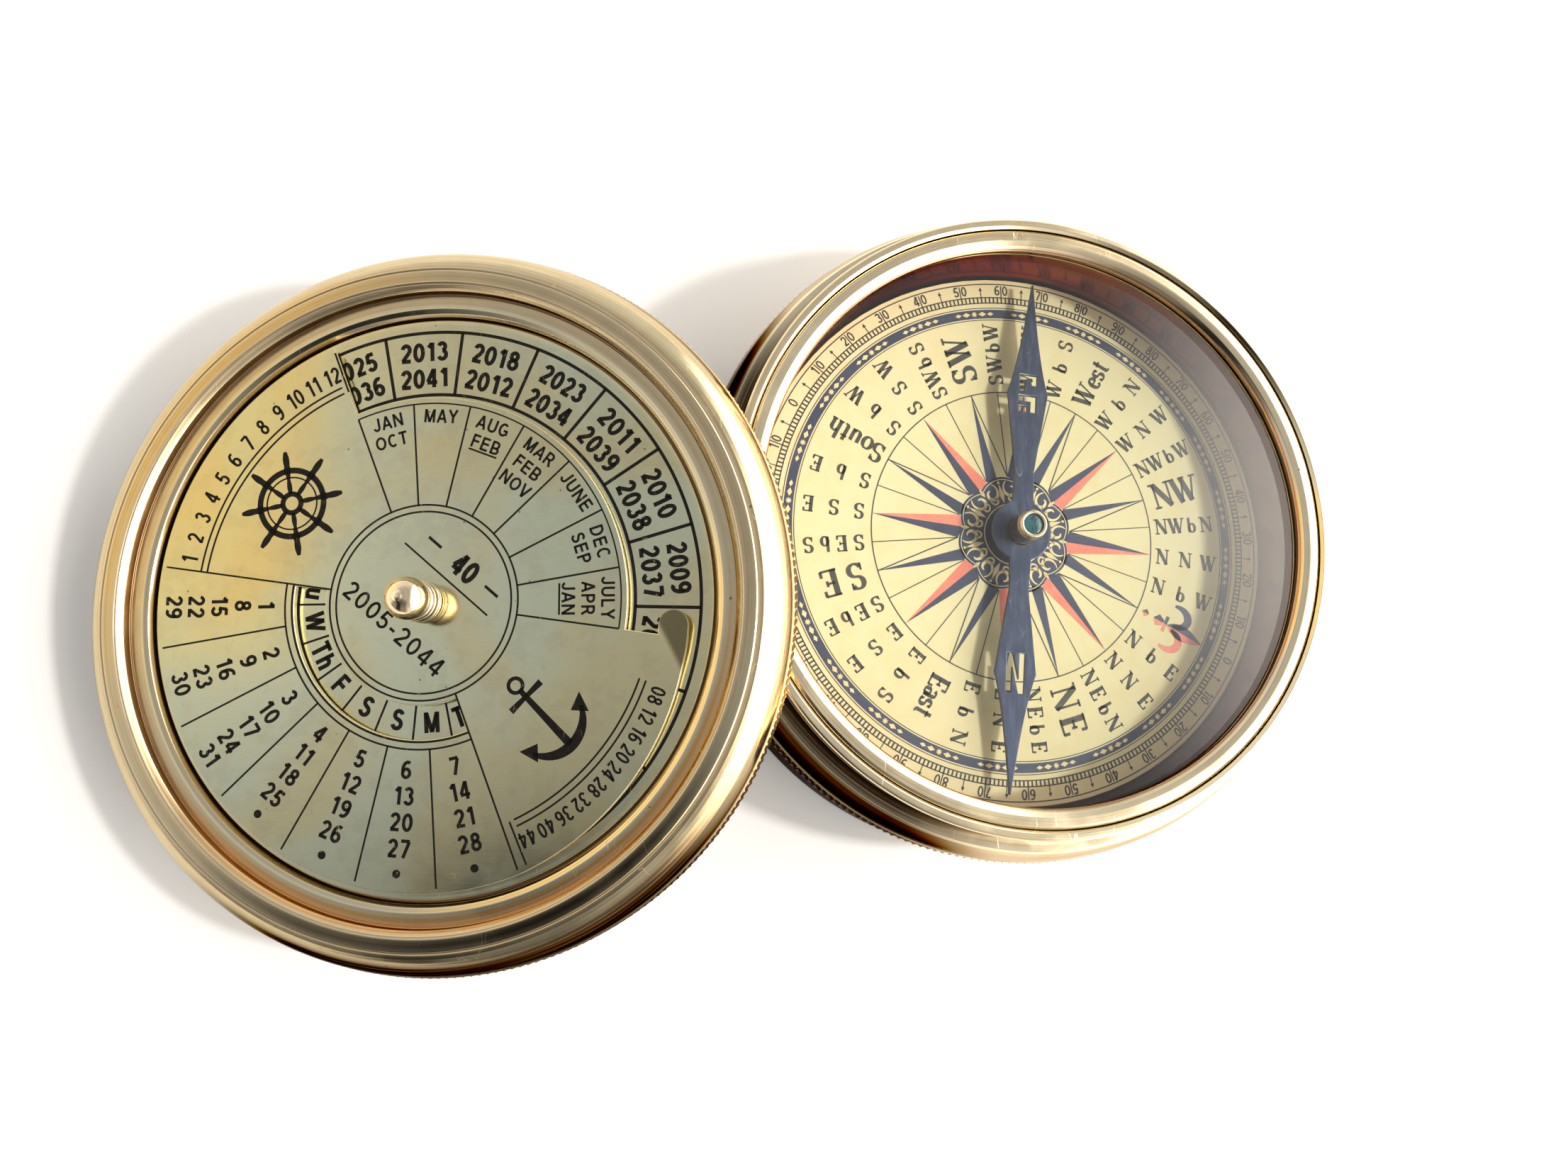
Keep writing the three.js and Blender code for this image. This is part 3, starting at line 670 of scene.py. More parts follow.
class Graph:
    """A short way to write node trees."""

    def __init__(self, tree: bpy.types.NodeTree) -> None:
        """Keeps the tree that nodes are added to."""
        self.tree = tree

    @classmethod
    def of(cls, owner: Material | bpy.types.World) -> "Graph":
        """The emptied node tree of a material or a world."""
        owner.use_nodes = True
        owner.node_tree.nodes.clear()
        return cls(owner.node_tree)

    def add(self, kind: str, given: dict[str | int, object] | None = None, **settings: object) -> Node:
        """Adds a node.

        Args:
            kind: Its type.
            given: What its inputs are fed, by name or number.
            settings: Its properties.

        Returns:
            The node.
        """
        node = self.tree.nodes.new(kind)
        for name, value in settings.items():
            setattr(node, name, value)
        self.feed(node, given or {})
        return node

    def feed(self, node: Node, given: dict[str | int, object]) -> None:
        """Links or sets a node's inputs by name or number: a socket is linked, anything else is set."""
        for name, value in given.items():
            if isinstance(value, Socket):
                self.tree.links.new(value, node.inputs[name])
            else:
                node.inputs[name].default_value = value

    def math(self, operation: str, *values: object, clamp: bool = False) -> Socket:
        """The result of a Math node on sockets or numbers."""
        given = dict(enumerate(values))
        return self.add("ShaderNodeMath", given, operation=operation, use_clamp=clamp).outputs[0]

    def times(self, *values: object) -> Socket:
        """The product of sockets and numbers, taken from the left."""
        product = values[0]
        for value in values[1:]:
            product = self.math("MULTIPLY", product, value)
        return product

    def total(self, base: object, *parts: tuple[object, float]) -> Socket:
        """A base plus each value times its share."""
        for value, share in parts:
            base = self.math("ADD", base, self.times(value, share))
        return base

    def vector(self, operation: str, *values: object) -> Socket:
        """The result of a Vector Math node on sockets or vectors."""
        return self.add("ShaderNodeVectorMath", dict(enumerate(values)), operation=operation).outputs[0]

    def scaled(self, place: Socket, scale: object) -> Socket:
        """A vector times a number."""
        return self.add("ShaderNodeVectorMath", {0: place, "Scale": scale}, operation="SCALE").outputs[0]

    def split(self, place: Socket) -> Sequence[Socket]:
        """The three parts of a vector."""
        return self.add("ShaderNodeSeparateXYZ", {0: place}).outputs

    def noise(self, place: Socket, scale: float, detail: float = 2.0, twist: float = 0.0) -> Socket:
        """Soft noise around one half."""
        given = {"Vector": place, "Scale": scale, "Detail": detail, "Distortion": twist}
        return self.add("ShaderNodeTexNoise", given).outputs["Fac"]

    def spread(self, value: object, low: float, high: float, to: Pair = (0.0, 1.0)) -> Socket:
        """A value mapped smoothly from one range onto another and held at its ends."""
        given = dict(enumerate((value, low, high, *to)))
        return self.add("ShaderNodeMapRange", given, interpolation_type="SMOOTHSTEP").outputs[0]

    def mix(self, share: object, first: object, second: object) -> Socket:
        """A colour between two, by a share."""
        first, second = (c if isinstance(c, Socket) else (*c, 1.0) for c in (first, second))
        return self.add("ShaderNodeMix", {0: share, 6: first, 7: second}, data_type="RGBA").outputs[2]

    def coats(self, base: object, *coats: tuple[object, float, Colour]) -> Socket:
        """A colour with others laid over it in turn, each by a mask times a share."""
        for mask, share, colour in coats:
            base = self.mix(self.times(mask, share), base, colour)
        return base


Draw = Callable[[Graph, Socket, Socket], tuple[Socket, Socket]]


class Effects:
    """Node groups that several finishes share. They put out masks and heights only."""

    def __init__(self) -> None:
        """Builds each group once."""
        self.marks = self.group("turning marks", "Fineness", ("Height", "Tone"), self.draw_marks)
        self.use = self.group("handling", "Scale", ("Scratches", "Smudge"), self.draw_use)
        self.age = self.group("tarnish", "Scale", ("Mask", "Specks"), self.draw_age)

    def group(self, name: str, number: str, results: Sequence[str], draw: Draw) -> bpy.types.NodeTree:
        """Makes a group.

        Args:
            name: Its name.
            number: Name of the number that it takes beside a place.
            results: Names of its outputs, which are numbers too.
            draw: Draws the nodes between them.

        Returns:
            The group.
        """
        tree = bpy.data.node_groups.new(name, "ShaderNodeTree")
        tree.interface.new_socket("Place", in_out="INPUT", socket_type="NodeSocketVector")
        tree.interface.new_socket(number, in_out="INPUT", socket_type="NodeSocketFloat")
        for result in results:
            tree.interface.new_socket(result, in_out="OUTPUT", socket_type="NodeSocketFloat")
        graph = Graph(tree)
        given = graph.add("NodeGroupInput").outputs
        graph.add("NodeGroupOutput", dict(zip(results, draw(graph, given["Place"], given[number]))))
        return tree

    def draw_marks(self, g: Graph, place: Socket, fineness: Socket) -> tuple[Socket, Socket]:
        """Rings left by the tool: noise read at the distance from the axis and the height alone."""
        x, y, z = g.split(place)
        radius = g.math("SQRT", g.math("ADD", g.times(x, x), g.times(y, y)))
        section = g.add("ShaderNodeCombineXYZ", {0: radius, 1: z}).outputs[0]
        drift = g.vector("ADD", g.scaled(section, fineness), g.vector("MULTIPLY", place, (0.02, 0.02, 0.02)))
        fine, broad = g.noise(drift, 4.0, 3.0), g.noise(drift, 0.9, 2.0)
        return g.total(g.times(fine, 0.6), (broad, 0.4)), g.noise(drift, 1.7, 4.0)

    def draw_use(self, g: Graph, place: Socket, scale: Socket) -> tuple[Socket, Socket]:
        """Hair scratches where twisted noise crosses one half, and soft finger smudges."""
        place = g.scaled(place, scale)
        stretched = g.vector("MULTIPLY", place, (1.0, 0.16, 0.5))
        away = g.math("ABSOLUTE", g.math("SUBTRACT", g.noise(stretched, 0.55, 1.0, 0.4), 0.5))
        rare = g.spread(g.noise(place, 0.35, 1.0), 0.55, 0.7)
        hair = g.times(g.spread(away, 0.0, 0.006, (1.0, 0.0)), rare)
        return hair, g.spread(g.noise(place, 0.16, 3.0, 0.6), 0.4, 0.7)

    def draw_age(self, g: Graph, place: Socket, scale: Socket) -> tuple[Socket, Socket]:
        """Clouds of tarnish, and specks in a few cells of a Voronoi pattern."""
        place = g.scaled(place, scale)
        cloud = g.times(g.noise(place, 0.12, 5.0, 0.8), g.noise(place, 0.5, 4.0))
        cells = g.add("ShaderNodeTexVoronoi", {"Vector": place, "Scale": 0.5}).outputs
        pick = g.add("ShaderNodeSeparateColor", {0: cells["Color"]}).outputs[0]
        dot = g.spread(cells["Distance"], 0.05, 0.1, (1.0, 0.0))
        return g.spread(cloud, 0.2, 0.36), g.times(g.math("GREATER_THAN", pick, 0.86), dot)


@dataclass(frozen=True)
class Finish:
    """A finish's name and what all finishes share."""

    name: str
    source: Source = Source.OWN

    def make(self, effects: Effects) -> Material:
        """Builds the material: a Principled shader that the finish feeds.

        Args:
            effects: The shared groups.

        Returns:
            The material.
        """
        material = bpy.data.materials.new(self.name)
        g = Graph.of(material)
        shader = g.add("ShaderNodeBsdfPrincipled")
        if self.source is Source.OWN:
            place = self.mask(g, "place", "Vector")
        else:
            place = g.scaled(g.add("ShaderNodeTexCoord").outputs["Object"], 1 / MM)
        self.draw(g, shader, place, effects)
        g.add("ShaderNodeOutputMaterial", {0: self.surface(g, shader)})
        return material

    def draw(self, g: Graph, shader: Node, place: Socket, effects: Effects) -> None:
        """Feeds the shader. A bare finish leaves it as it is.

        Args:
            g: The material's nodes.
            shader: Its Principled shader.
            place: The place in millimetres.
            effects: The shared groups.
        """

    def surface(self, g: Graph, shader: Node) -> Socket:
        """What the material's surface shows."""
        return shader.outputs[0]

    def effect(self, g: Graph, tree: bpy.types.NodeTree, place: Socket, value: float) -> Sequence[Socket]:
        """Places a shared group with its own value, and gives its outputs."""
        return g.add("ShaderNodeGroup", {0: place, 1: value}, node_tree=tree).outputs

    def mask(self, g: Graph, name: str, kind: str = "Fac") -> Socket:
        """A mask that the form carries, or zero."""
        return g.add("ShaderNodeAttribute", attribute_name=name).outputs[kind]

    def relief(self, g: Graph, height: Socket, strength: float, depth: float) -> Socket:
        """A normal bumped by a height, whose whole range is a depth in millimetres."""
        given = {"Strength": strength, "Distance": depth * MM, "Height": height}
        return g.add("ShaderNodeBump", given).outputs[0]


@dataclass(frozen=True)
class Brass(Finish):
    """Turned and polished brass with tool marks, brown in its corners and bare on its edges, with painted
    shade and painted dark and orange reflections.
    """

    metal: Colour = (0.92, 0.80, 0.57)
    warm: Colour = (0.84, 0.63, 0.35)
    brown: Colour = (0.23, 0.10, 0.03)
    # This colour and the two after it are painted: the dark red shade of the bowl's inner wall, a dark
    # reflection, an orange reflection.
    wall: Colour = (0.34, 0.09, 0.025)
    dark: Colour = (0.036, 0.016, 0.006)
    amber: Colour = (0.68, 0.31, 0.06)
    bare: Colour = (0.95, 0.84, 0.58)
    speck: Colour = (0.04, 0.025, 0.015)
    rim: Colour = (1.0, 0.95, 0.85)
    # Specular tint where tarnish and painted shade dull the reflection.
    dull_rim: Colour = (0.12, 0.065, 0.035)
    shine: float = 0.1
    fineness: float = 3.0
    depth: float = 0.008
    stain: float = 0.07

    def draw(self, g: Graph, shader: Node, place: Socket, effects: Effects) -> None:
        """Lays tarnish brown and painted shade, a painted orange reflection and painted dark reflections over
        the metal, then bare edges and specks.
        """
        marks = self.effect(g, effects.marks, place, self.fineness)
        use = self.effect(g, effects.use, place, 1.0)
        age = self.effect(g, effects.age, place, 1.0)
        tone, grime = self.mask(g, "tone"), self.mask(g, "grime")
        tint = g.mix(g.spread(marks["Tone"], 0.35, 0.7), self.metal, self.warm)
        tint = g.coats(tint, (age["Mask"], self.stain, self.brown))
        # Brown by the tarnish-and-shade mask: partly tarnish, partly painted shade.
        tint = g.mix(g.math("MULTIPLY", tone, 0.92, clamp=True), tint, self.brown)
        # Above 1 that mask paints the dark red shade of the bowl's inner wall.
        tint = g.mix(g.spread(tone, 1.0, 2.0), tint, self.wall)
        # Brown in hollows, and a painted orange reflection on one side of the lid's ring.
        tint = g.coats(tint, (grime, 0.85, self.brown), (self.mask(g, "amber"), 0.8, self.amber))
        # Painted dark reflections on one side, broken up by the tool marks.
        painted_dark_patches = g.times(self.mask(g, "patina"), g.spread(marks["Tone"], 0.75, 0.5, (0.6, 0.97)))
        tint = g.mix(painted_dark_patches, tint, self.dark)
        worn = g.times(self.mask(g, "wear"), g.math("SUBTRACT", 0.6, g.times(painted_dark_patches, 0.3)))
        tint = g.coats(g.mix(worn, tint, self.bare), (age["Specks"], 0.6, self.speck))
        # Tarnish and painted shade also darken the specular tint.
        dull = g.math("MAXIMUM", g.spread(tone, 0.0, 0.8), painted_dark_patches)
        rough = (marks["Height"], 0.1), (use["Smudge"], 0.07), (use["Scratches"], 0.25), (grime, 0.25)
        cut = g.math("SUBTRACT", marks["Height"], g.times(use["Scratches"], 0.4))
        g.feed(shader, {
            "Base Color": tint,
            "Specular Tint": g.mix(dull, self.rim, self.dull_rim),
            "Metallic": 1.0,
            "Roughness": g.total(self.shine, *rough),
            "Normal": self.relief(g, g.math("SUBTRACT", cut, age["Specks"]), 0.6, self.depth),
        })


@dataclass(frozen=True)
class SheetBrass(Finish):
    """Printed sheet brass: grey-green under a thin tarnish, with ochre clouds and hair scratches."""

    metal: Colour = (0.61, 0.615, 0.42)
    ochre: Colour = (0.65, 0.57, 0.32)
    brown: Colour = (0.24, 0.14, 0.06)
    brushed: Colour = (0.8, 0.78, 0.6)
    bare: Colour = (0.92, 0.82, 0.55)
    # Painted dark reflection on the bent-up ear.
    bent: Colour = (0.14, 0.11, 0.05)
    speck: Colour = (0.05, 0.03, 0.02)
    lifted: float = 6.6
    shine: float = 0.1

    def draw(self, g: Graph, shader: Node, place: Socket, effects: Effects) -> None:
        """Clouds the metal, bares its edges and paints a dark reflection on what is bent up above the sheet.
        """
        use = self.effect(g, effects.use, place, 1.3)
        age = self.effect(g, effects.age, place, 1.4)
        wear = self.mask(g, "wear")
        brushed = g.noise(g.vector("MULTIPLY", place, (0.5, 9.0, 1.0)), 1.0, 3.0)
        tint = g.mix(g.spread(g.noise(place, 0.05, 2.0, 0.5), 0.42, 0.62), self.metal, self.ochre)
        tint = g.coats(
            tint,
            (age["Mask"], 0.1, self.brown),
            (g.spread(brushed, 0.35, 0.75), 0.08, self.brushed),
            (wear, 0.7, self.bare),
            (g.spread(g.split(place)[2], self.lifted + 0.03, self.lifted + 0.2), 0.85, self.bent),
            (age["Specks"], 0.7, self.speck),
        )
        rough = (brushed, 0.05), (use["Smudge"], 0.05), (use["Scratches"], 0.2), (wear, 0.42)
        cut = g.math("SUBTRACT", g.times(brushed, 0.3), use["Scratches"])
        g.feed(shader, {
            "Base Color": tint,
            "Metallic": 1.0,
            "Roughness": g.total(self.shine, *rough),
            "Normal": self.relief(g, cut, 0.4, 0.005),
        })


@dataclass(frozen=True)
class Paper(Finish):
    """Printed card or the ink on it, with fibre grain, faint age clouds and a dull surface."""

    colour: Colour = (0.86, 0.80, 0.47)
    aged: Colour = (0.81, 0.68, 0.31)
    grain: float = 0.12
    dullness: float = 0.75

    def draw(self, g: Graph, shader: Node, place: Socket, effects: Effects) -> None:
        """Ages the colour by clouds and along the fibres."""
        age = self.effect(g, effects.age, place, 0.8)
        fibre = g.noise(g.vector("MULTIPLY", place, (3.0, 7.0, 3.0)), 1.0, 4.0, 0.5)
        grain = g.spread(fibre, 0.3, 0.7)
        g.feed(shader, {
            "Base Color": g.coats(
                self.colour, (age["Mask"], 0.35, self.aged), (grain, self.grain, self.aged),
            ),
            "Roughness": g.total(self.dullness, (fibre, 0.15)),
            "Normal": self.relief(g, fibre, 0.35, 0.02),
        })


@dataclass(frozen=True)
class Enamel(Finish):
    """Black filling of the engraved marks, slightly worn."""

    colour: Colour = (0.006, 0.005, 0.004)
    worn: Colour = (0.025, 0.019, 0.013)
    brass: Colour = (0.3, 0.26, 0.17)

    def draw(self, g: Graph, shader: Node, place: Socket, effects: Effects) -> None:
        """Thins the black in clouds, and bares the brass in scratches."""
        use = self.effect(g, effects.use, place, 2.0)
        thin = g.spread(g.noise(place, 1.4, 4.0), 0.5, 0.8)
        g.feed(shader, {
            "Base Color": g.mix(use["Scratches"], g.coats(self.colour, (thin, 0.5, self.worn)), self.brass),
            "Specular IOR Level": 0.2,
            "Roughness": g.total(0.42, (thin, 0.25)),
            "Normal": self.relief(g, thin, 0.4, 0.02),
        })


@dataclass(frozen=True)
class BluedSteel(Finish):
    """Steel blued by heat: deep blue with paler streaks, bare along its edges."""

    colour: Colour = (0.026, 0.034, 0.062)
    pale: Colour = (0.06, 0.075, 0.12)
    bare: Colour = (0.26, 0.28, 0.34)

    def draw(self, g: Graph, shader: Node, place: Socket, effects: Effects) -> None:
        """Streaks the blue, and bares the steel on edges and in scratches."""
        use = self.effect(g, effects.use, place, 1.6)
        streak = g.noise(g.vector("MULTIPLY", place, (2.2, 0.35, 1.0)), 1.0, 4.0, 0.3)
        tint = g.mix(g.spread(streak, 0.4, 0.85), self.colour, self.pale)
        g.feed(shader, {
            "Base Color": g.coats(
                tint, (self.mask(g, "wear"), 0.45, self.bare), (use["Scratches"], 0.5, self.bare),
            ),
            "Metallic": 0.75,
            "Roughness": g.total(0.3, (streak, 0.15)),
            "Normal": self.relief(g, streak, 0.3, 0.015),
        })


@dataclass(frozen=True)
class Steel(Finish):
    """Plain turned steel with light tool marks."""

    colour: Colour = (0.55, 0.56, 0.58)
    shade: Colour = (0.36, 0.36, 0.37)

    def draw(self, g: Graph, shader: Node, place: Socket, effects: Effects) -> None:
        """Shades the steel by its tool marks."""
        marks = self.effect(g, effects.marks, place, 4.0)
        g.feed(shader, {
            "Base Color": g.mix(marks["Tone"], self.colour, self.shade),
            "Metallic": 1.0,
            "Roughness": g.total(0.22, (marks["Height"], 0.2)),
            "Normal": self.relief(g, marks["Height"], 0.5, 0.015),
        })


@dataclass(frozen=True)
class Stone(Finish):
    """Polished blue-green stone with darker veins under its polish."""

    colour: Colour = (0.012, 0.13, 0.15)
    vein: Colour = (0.004, 0.035, 0.05)

    def draw(self, g: Graph, shader: Node, place: Socket, effects: Effects) -> None:
        """Clouds the stone."""
        cloud = g.noise(place, 1.1, 4.0, 1.2)
        g.feed(shader, {
            "Base Color": g.mix(g.spread(cloud, 0.4, 0.65), self.colour, self.vein),
            "Roughness": g.total(0.05, (cloud, 0.08)),
            "Coat Weight": 0.6,
            "Coat Roughness": 0.03,
        })


@dataclass(frozen=True)
class Glass(Finish):
    """Clear flat glass with faint smudges. Light for the dial passes straight through it."""

    def draw(self, g: Graph, shader: Node, place: Socket, effects: Effects) -> None:
        """Smudges the glass."""
        use = self.effect(g, effects.use, place, 0.6)
        g.feed(shader, {
            "Base Color": (0.985, 1.0, 0.99, 1.0),
            "Transmission Weight": 1.0,
            "IOR": 1.5,
            "Roughness": g.times(use["Smudge"], 0.03),
        })

    def surface(self, g: Graph, shader: Node) -> Socket:
        """The glass for what looks through it, and nothing for light that falls through it."""
        path = g.add("ShaderNodeLightPath").outputs
        passing = g.math("MAXIMUM", path["Is Shadow Ray"], path["Is Diffuse Ray"])
        clear = g.add("ShaderNodeBsdfTransparent").outputs[0]
        return g.add("ShaderNodeMixShader", {0: passing, 1: shader.outputs[0], 2: clear}).outputs[0]


def make_finishes() -> dict[str, Material]:
    """Every finish of the compass by its name, each made once."""
    finishes = (
        Brass("turned_brass"),
        Brass("tan_brass", metal=(0.62, 0.54, 0.35), warm=(0.55, 0.40, 0.21)),
        # A darkened copy of the brass for the knurls: painted shade in their teeth.
        Brass(
            "shaded_knurl_brass", metal=(0.42, 0.31, 0.16), warm=(0.28, 0.18, 0.085),
            rim=(0.45, 0.34, 0.2), shine=0.2,
        ),
        Brass("champagne_brass", metal=(0.88, 0.74, 0.52), warm=(0.85, 0.64, 0.42), shine=0.07),
        Brass("inner_brass", Source.FRAME, metal=(0.5, 0.42, 0.24), shine=0.35),
        SheetBrass("plate_brass"),
        Paper("card_paper", Source.FRAME),
        Paper("navy_ink", colour=(0.008, 0.015, 0.045), aged=(0.03, 0.045, 0.1), grain=0.5, dullness=0.5),
        Paper("rose_ink", colour=(0.83, 0.2, 0.14), aged=(0.9, 0.42, 0.26), grain=0.4, dullness=0.6),
        Paper("cream_ink", colour=(0.9, 0.78, 0.42), aged=(0.7, 0.52, 0.22)),
        Paper("black_ink", colour=(0.012, 0.011, 0.01), aged=(0.06, 0.055, 0.035), grain=0.6, dullness=0.55),
        Enamel("black_enamel"),
        BluedSteel("blued_steel"),
        Steel("turned_steel"),
        Stone("jewel_stone"),
        Glass("clear_glass"),
    )
    effects = Effects()
    return {finish.name: finish.make(effects) for finish in finishes}


def put_in_scene(name: str, data: bpy.types.ID) -> bpy.types.Object:
    """Makes an object of some data and links it to the scene."""
    made = bpy.data.objects.new(name, data)
    bpy.context.scene.collection.objects.link(made)
    return made


@dataclass
class Bench:
    """Makes finished pieces of one body from forms."""

    body: str
    finishes: dict[str, Material]
    place: Placement = Placement()

    def finish(self, name: str, form: Form, finish: str, node: str, stands: bool = True) -> None:
        """Makes a piece with its place in its mesh, dresses it and lets it ride on the body.

        Args:
            name: The piece's name.
            form: Its surface in the sub-assembly's frame.
            finish: Name of its finish.
            node: The CAD node that it belongs to, hidden when the piece stands for it.
            stands: True if it stands for that node too.
        """
        mesh = bpy.data.meshes.new(name)
        faces = form.quads.tolist() + form.tris.tolist()
        mesh.from_pydata(self.place.put(form.points), [], faces)
        smooth = np.r_[np.ones(len(form.quads), bool), np.full(len(form.tris), not form.flat_tris)]
        mesh.polygons.foreach_set("use_smooth", smooth)
        place = mesh.attributes.new("place", "FLOAT_VECTOR", "POINT")
        place.data.foreach_set("vector", form.points.astype(np.float32).ravel())
        for mask, values in form.masks.items():
            layer = mesh.attributes.new(mask, "FLOAT", "POINT")
            layer.data.foreach_set("value", values.astype(np.float32))
        mesh.materials.append(self.finishes[finish])
        mesh.update()
        piece = put_in_scene(name, mesh)
        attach(piece, self.body)
        if stands:
            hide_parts(node)
        LOG.info("%s: %d faces on %s", name, len(faces), self.body)

    def dress(self, node: str, finish: str) -> None:
        """Gives a CAD node that stays its finish."""
        slots = frame["nodes"][node].data.materials
        slots.clear()
        slots.append(self.finishes[finish])
        LOG.info("%s: CAD solid kept, finished as %s", node, finish)


@dataclass(frozen=True)
class Knurl:
    """A knurled band: a closed ring let into a wall, its outer face cut into slanting teeth."""

    bottom: float
    width: float
    let_in: float
    rows: int
    teeth: int
    depth: float
    radius: float = 38.0
    edge: float = 0.25
    lean: float = 0.45

    def relief(self, radius: Array, height: Array, angle: Array) -> Array:
        """A pointed wave of the angle that leans with the height, only on the outer face."""
        wave = angle * self.teeth / (2 * math.pi) + (height - self.bottom) * self.lean
        tooth = np.abs((wave % 1) * 2 - 1)
        outer = np.clip((radius - self.radius + 0.35) / 0.3, 0, 1)
        return -self.depth * outer * (1 - tooth)

    def form(self, shaded_side: Triple) -> Form:
        """The band, worn on its crests, grimy in its grooves and with a painted dark reflection on one side.
        """
        top, lip, inner = self.bottom + self.width, self.radius - self.edge, self.radius - self.let_in
        face = [(self.radius, z, 0) for z in np.linspace(self.bottom + self.edge, top - self.edge, self.rows)]
        corners = [(inner, self.bottom, 0), (lip, self.bottom, 0), *face, (lip, top, 0), (inner, top, 0)]
        form = turned(corners, self.teeth * 6, self.relief)
        depth = self.radius - form.radius()
        form.masks["wear"] = np.clip(1 - depth / 0.08, 0, 1)
        form.masks["grime"] = np.clip(depth / self.depth - 0.35, 0, 1) * (depth < 0.4)
        form.masks["tone"] = depth * 0
        # Painted dark reflection on one side.
        form.masks["patina"] = patina(form, *shaded_side)
        return form


# Base


@dataclass
class Cup:
    """The turned cup with its knurled edge and threaded neck, and the ring that holds the glass."""

    bench: Bench
    height: float = 22.0
    rim_radius: float = 35.2
    rim_height: float = 1.1
    neck_radius: float = 35.0
    shoulder_radius: float = 36.4
    shoulder_height: float = 18.4
    shoulder_bulge: float = 0.35
    knurl: Knurl = Knurl(bottom=10.6, width=3.2, let_in=1.1, rows=11, teeth=264, depth=0.28)
    chamfer: float = 0.3
    body_radius: float = 37.2
    foot_corner: float = 2.2
    bowl_radius: float = 32.0
    under_bowl_radius: float = 30.4
    floor: float = 2.4
    dial_ledge: float = 11.2
    glass_seat: float = 19.15
    ring_seat: float = 34.05
    ring_inner: float = 31.7
    ring_outer: float = 33.9
    ring_bottom: float = 20.45
    groove: float = 0.28
    thread_pitch: float = 0.55
    thread_depth: float = 0.13
    # Azimuth, reach and fade of the side with painted shade.
    patina: Triple = (200.0, 42.0, 22.0)

    def thread(self, radius: Array, height: Array, angle: Array) -> Array:
        """A screw thread on the neck.

        Formula: the radius drops by a cosine of the height less the turns, faded at both ends.
        """
        turns = height / self.thread_pitch - angle / (2 * math.pi)
        low, high = self.shoulder_height + 0.35, self.height - self.rim_height - 0.2
        fade = np.clip((height - low) / 0.2, 0, 1) * np.clip((high - height) / 0.2, 0, 1)
        on_neck = (np.abs(radius - self.neck_radius) < 0.02) * fade
        return -self.thread_depth * on_neck * (0.5 - 0.5 * np.cos(2 * math.pi * turns))

    def shell(self) -> Form:
        """The cup itself, with fine rows on the neck for its thread, and painted shade low down on one side
        of its outside.
        """
        bottom, top, edge = self.knurl.bottom, self.knurl.bottom + self.knurl.width, self.knurl.radius
        step, ledge, foot = self.shoulder_height, self.height - self.rim_height, self.foot_corner
        turn, share = np.linspace(0.2, math.pi / 2, 8), np.linspace(0, 1, 9)
        shoulder = np.linspace((edge - self.chamfer, top + self.chamfer), (self.shoulder_radius, step), 9)
        swell = self.shoulder_bulge * 4 * share * (1 - share)
        # Fourth column: tarnish and painted shade; 2.0 paints the bowl's inner wall dark red.
        corners = [
            (0, 0, 0), (self.body_radius - foot, 0, 0),
            *[(self.body_radius - foot * (1 - math.sin(a)), foot * (1 - math.cos(a)), 0, 0.8) for a in turn],
            (self.body_radius, bottom - self.chamfer, 0.05, 0.9), (edge - 0.1, bottom + 0.05, 0.08, 0.1),
            (edge - 0.45, bottom + 0.4, 0), (edge - 0.45, top - 0.4, 0), (edge - 0.1, top - 0.02, 0.08, 0.1),
            *[(r + s, z, 0, 1.0) for (r, z), s in zip(shoulder[:-1], swell)],
            (self.shoulder_radius, step, 0.12), (self.neck_radius, step, 0.05, 0.95),
            *[(self.neck_radius, z, 0, 0.7) for z in np.linspace(step + 0.15, ledge - 0.12, 40)],
            (self.neck_radius, ledge, 0.05, 0.8), (self.rim_radius, ledge, 0.12, 0.1),
            (self.rim_radius, self.height, 0.3), (self.ring_seat + self.groove, self.height, 0.06, 0.1),
            (self.ring_seat, self.height - 0.3, 0.04, 0.7), (self.ring_seat, self.glass_seat, 0, 0.9),
            (self.bowl_radius, self.glass_seat, 0.05, 0.8), (self.bowl_radius, self.glass_seat - 0.2, 0, 2.0),
            (self.bowl_radius, self.dial_ledge, 0, 2.0), (self.under_bowl_radius, self.dial_ledge, 0.05, 0.8),
            (self.under_bowl_radius, self.floor, 0.3, 0.8), (0, self.floor, 0, 0.8),
        ]
        form = turned(corners, 288, self.thread, closed=False)
        # Painted shade: the outside browns towards one side, the neck less so, and a painted dark reflection
        # there fades out towards the rim.
        radius, share = form.radius(), patina(form, *self.patina)
        outside = radius > self.neck_radius - 0.3
        least = np.where(np.abs(radius - self.neck_radius) < 0.15, 0.8, 0.3)
        form.masks["tone"] *= np.where(outside, least + (1 - least) * share, 1.0)
        levels = (0.0, step + 0.2, ledge, self.height)
        form.masks["patina"] = outside * share * np.interp(form.points[:, 2], levels, (1.0, 1.0, 0.4, 0.0))
        return form

    def bezel(self) -> Form:
        """The rounded ring over the glass, with the two fine steps of its top face."""
        bottom, inner, outer = self.ring_bottom, self.ring_inner, self.ring_outer
        # Fourth column: tarnish and painted shade; 2.0 paints the inner edge's dark red shade.
        corners = [
            (inner, bottom, 0.05, 2.0), (outer, bottom, 0.05, 0.6), (outer, bottom + 1.15, 0.12),
            (outer - 0.35, bottom + 1.38, 0.1), (inner + 0.95, bottom + 1.36, 0.3),
            (inner + 0.4, bottom + 1.08, 0.25, 0.4), (inner + 0.12, bottom + 0.76, 0.1, 2.0),
            (inner, bottom + 0.55, 0.08, 2.0),
        ]
        return turned(corners, steps=3)

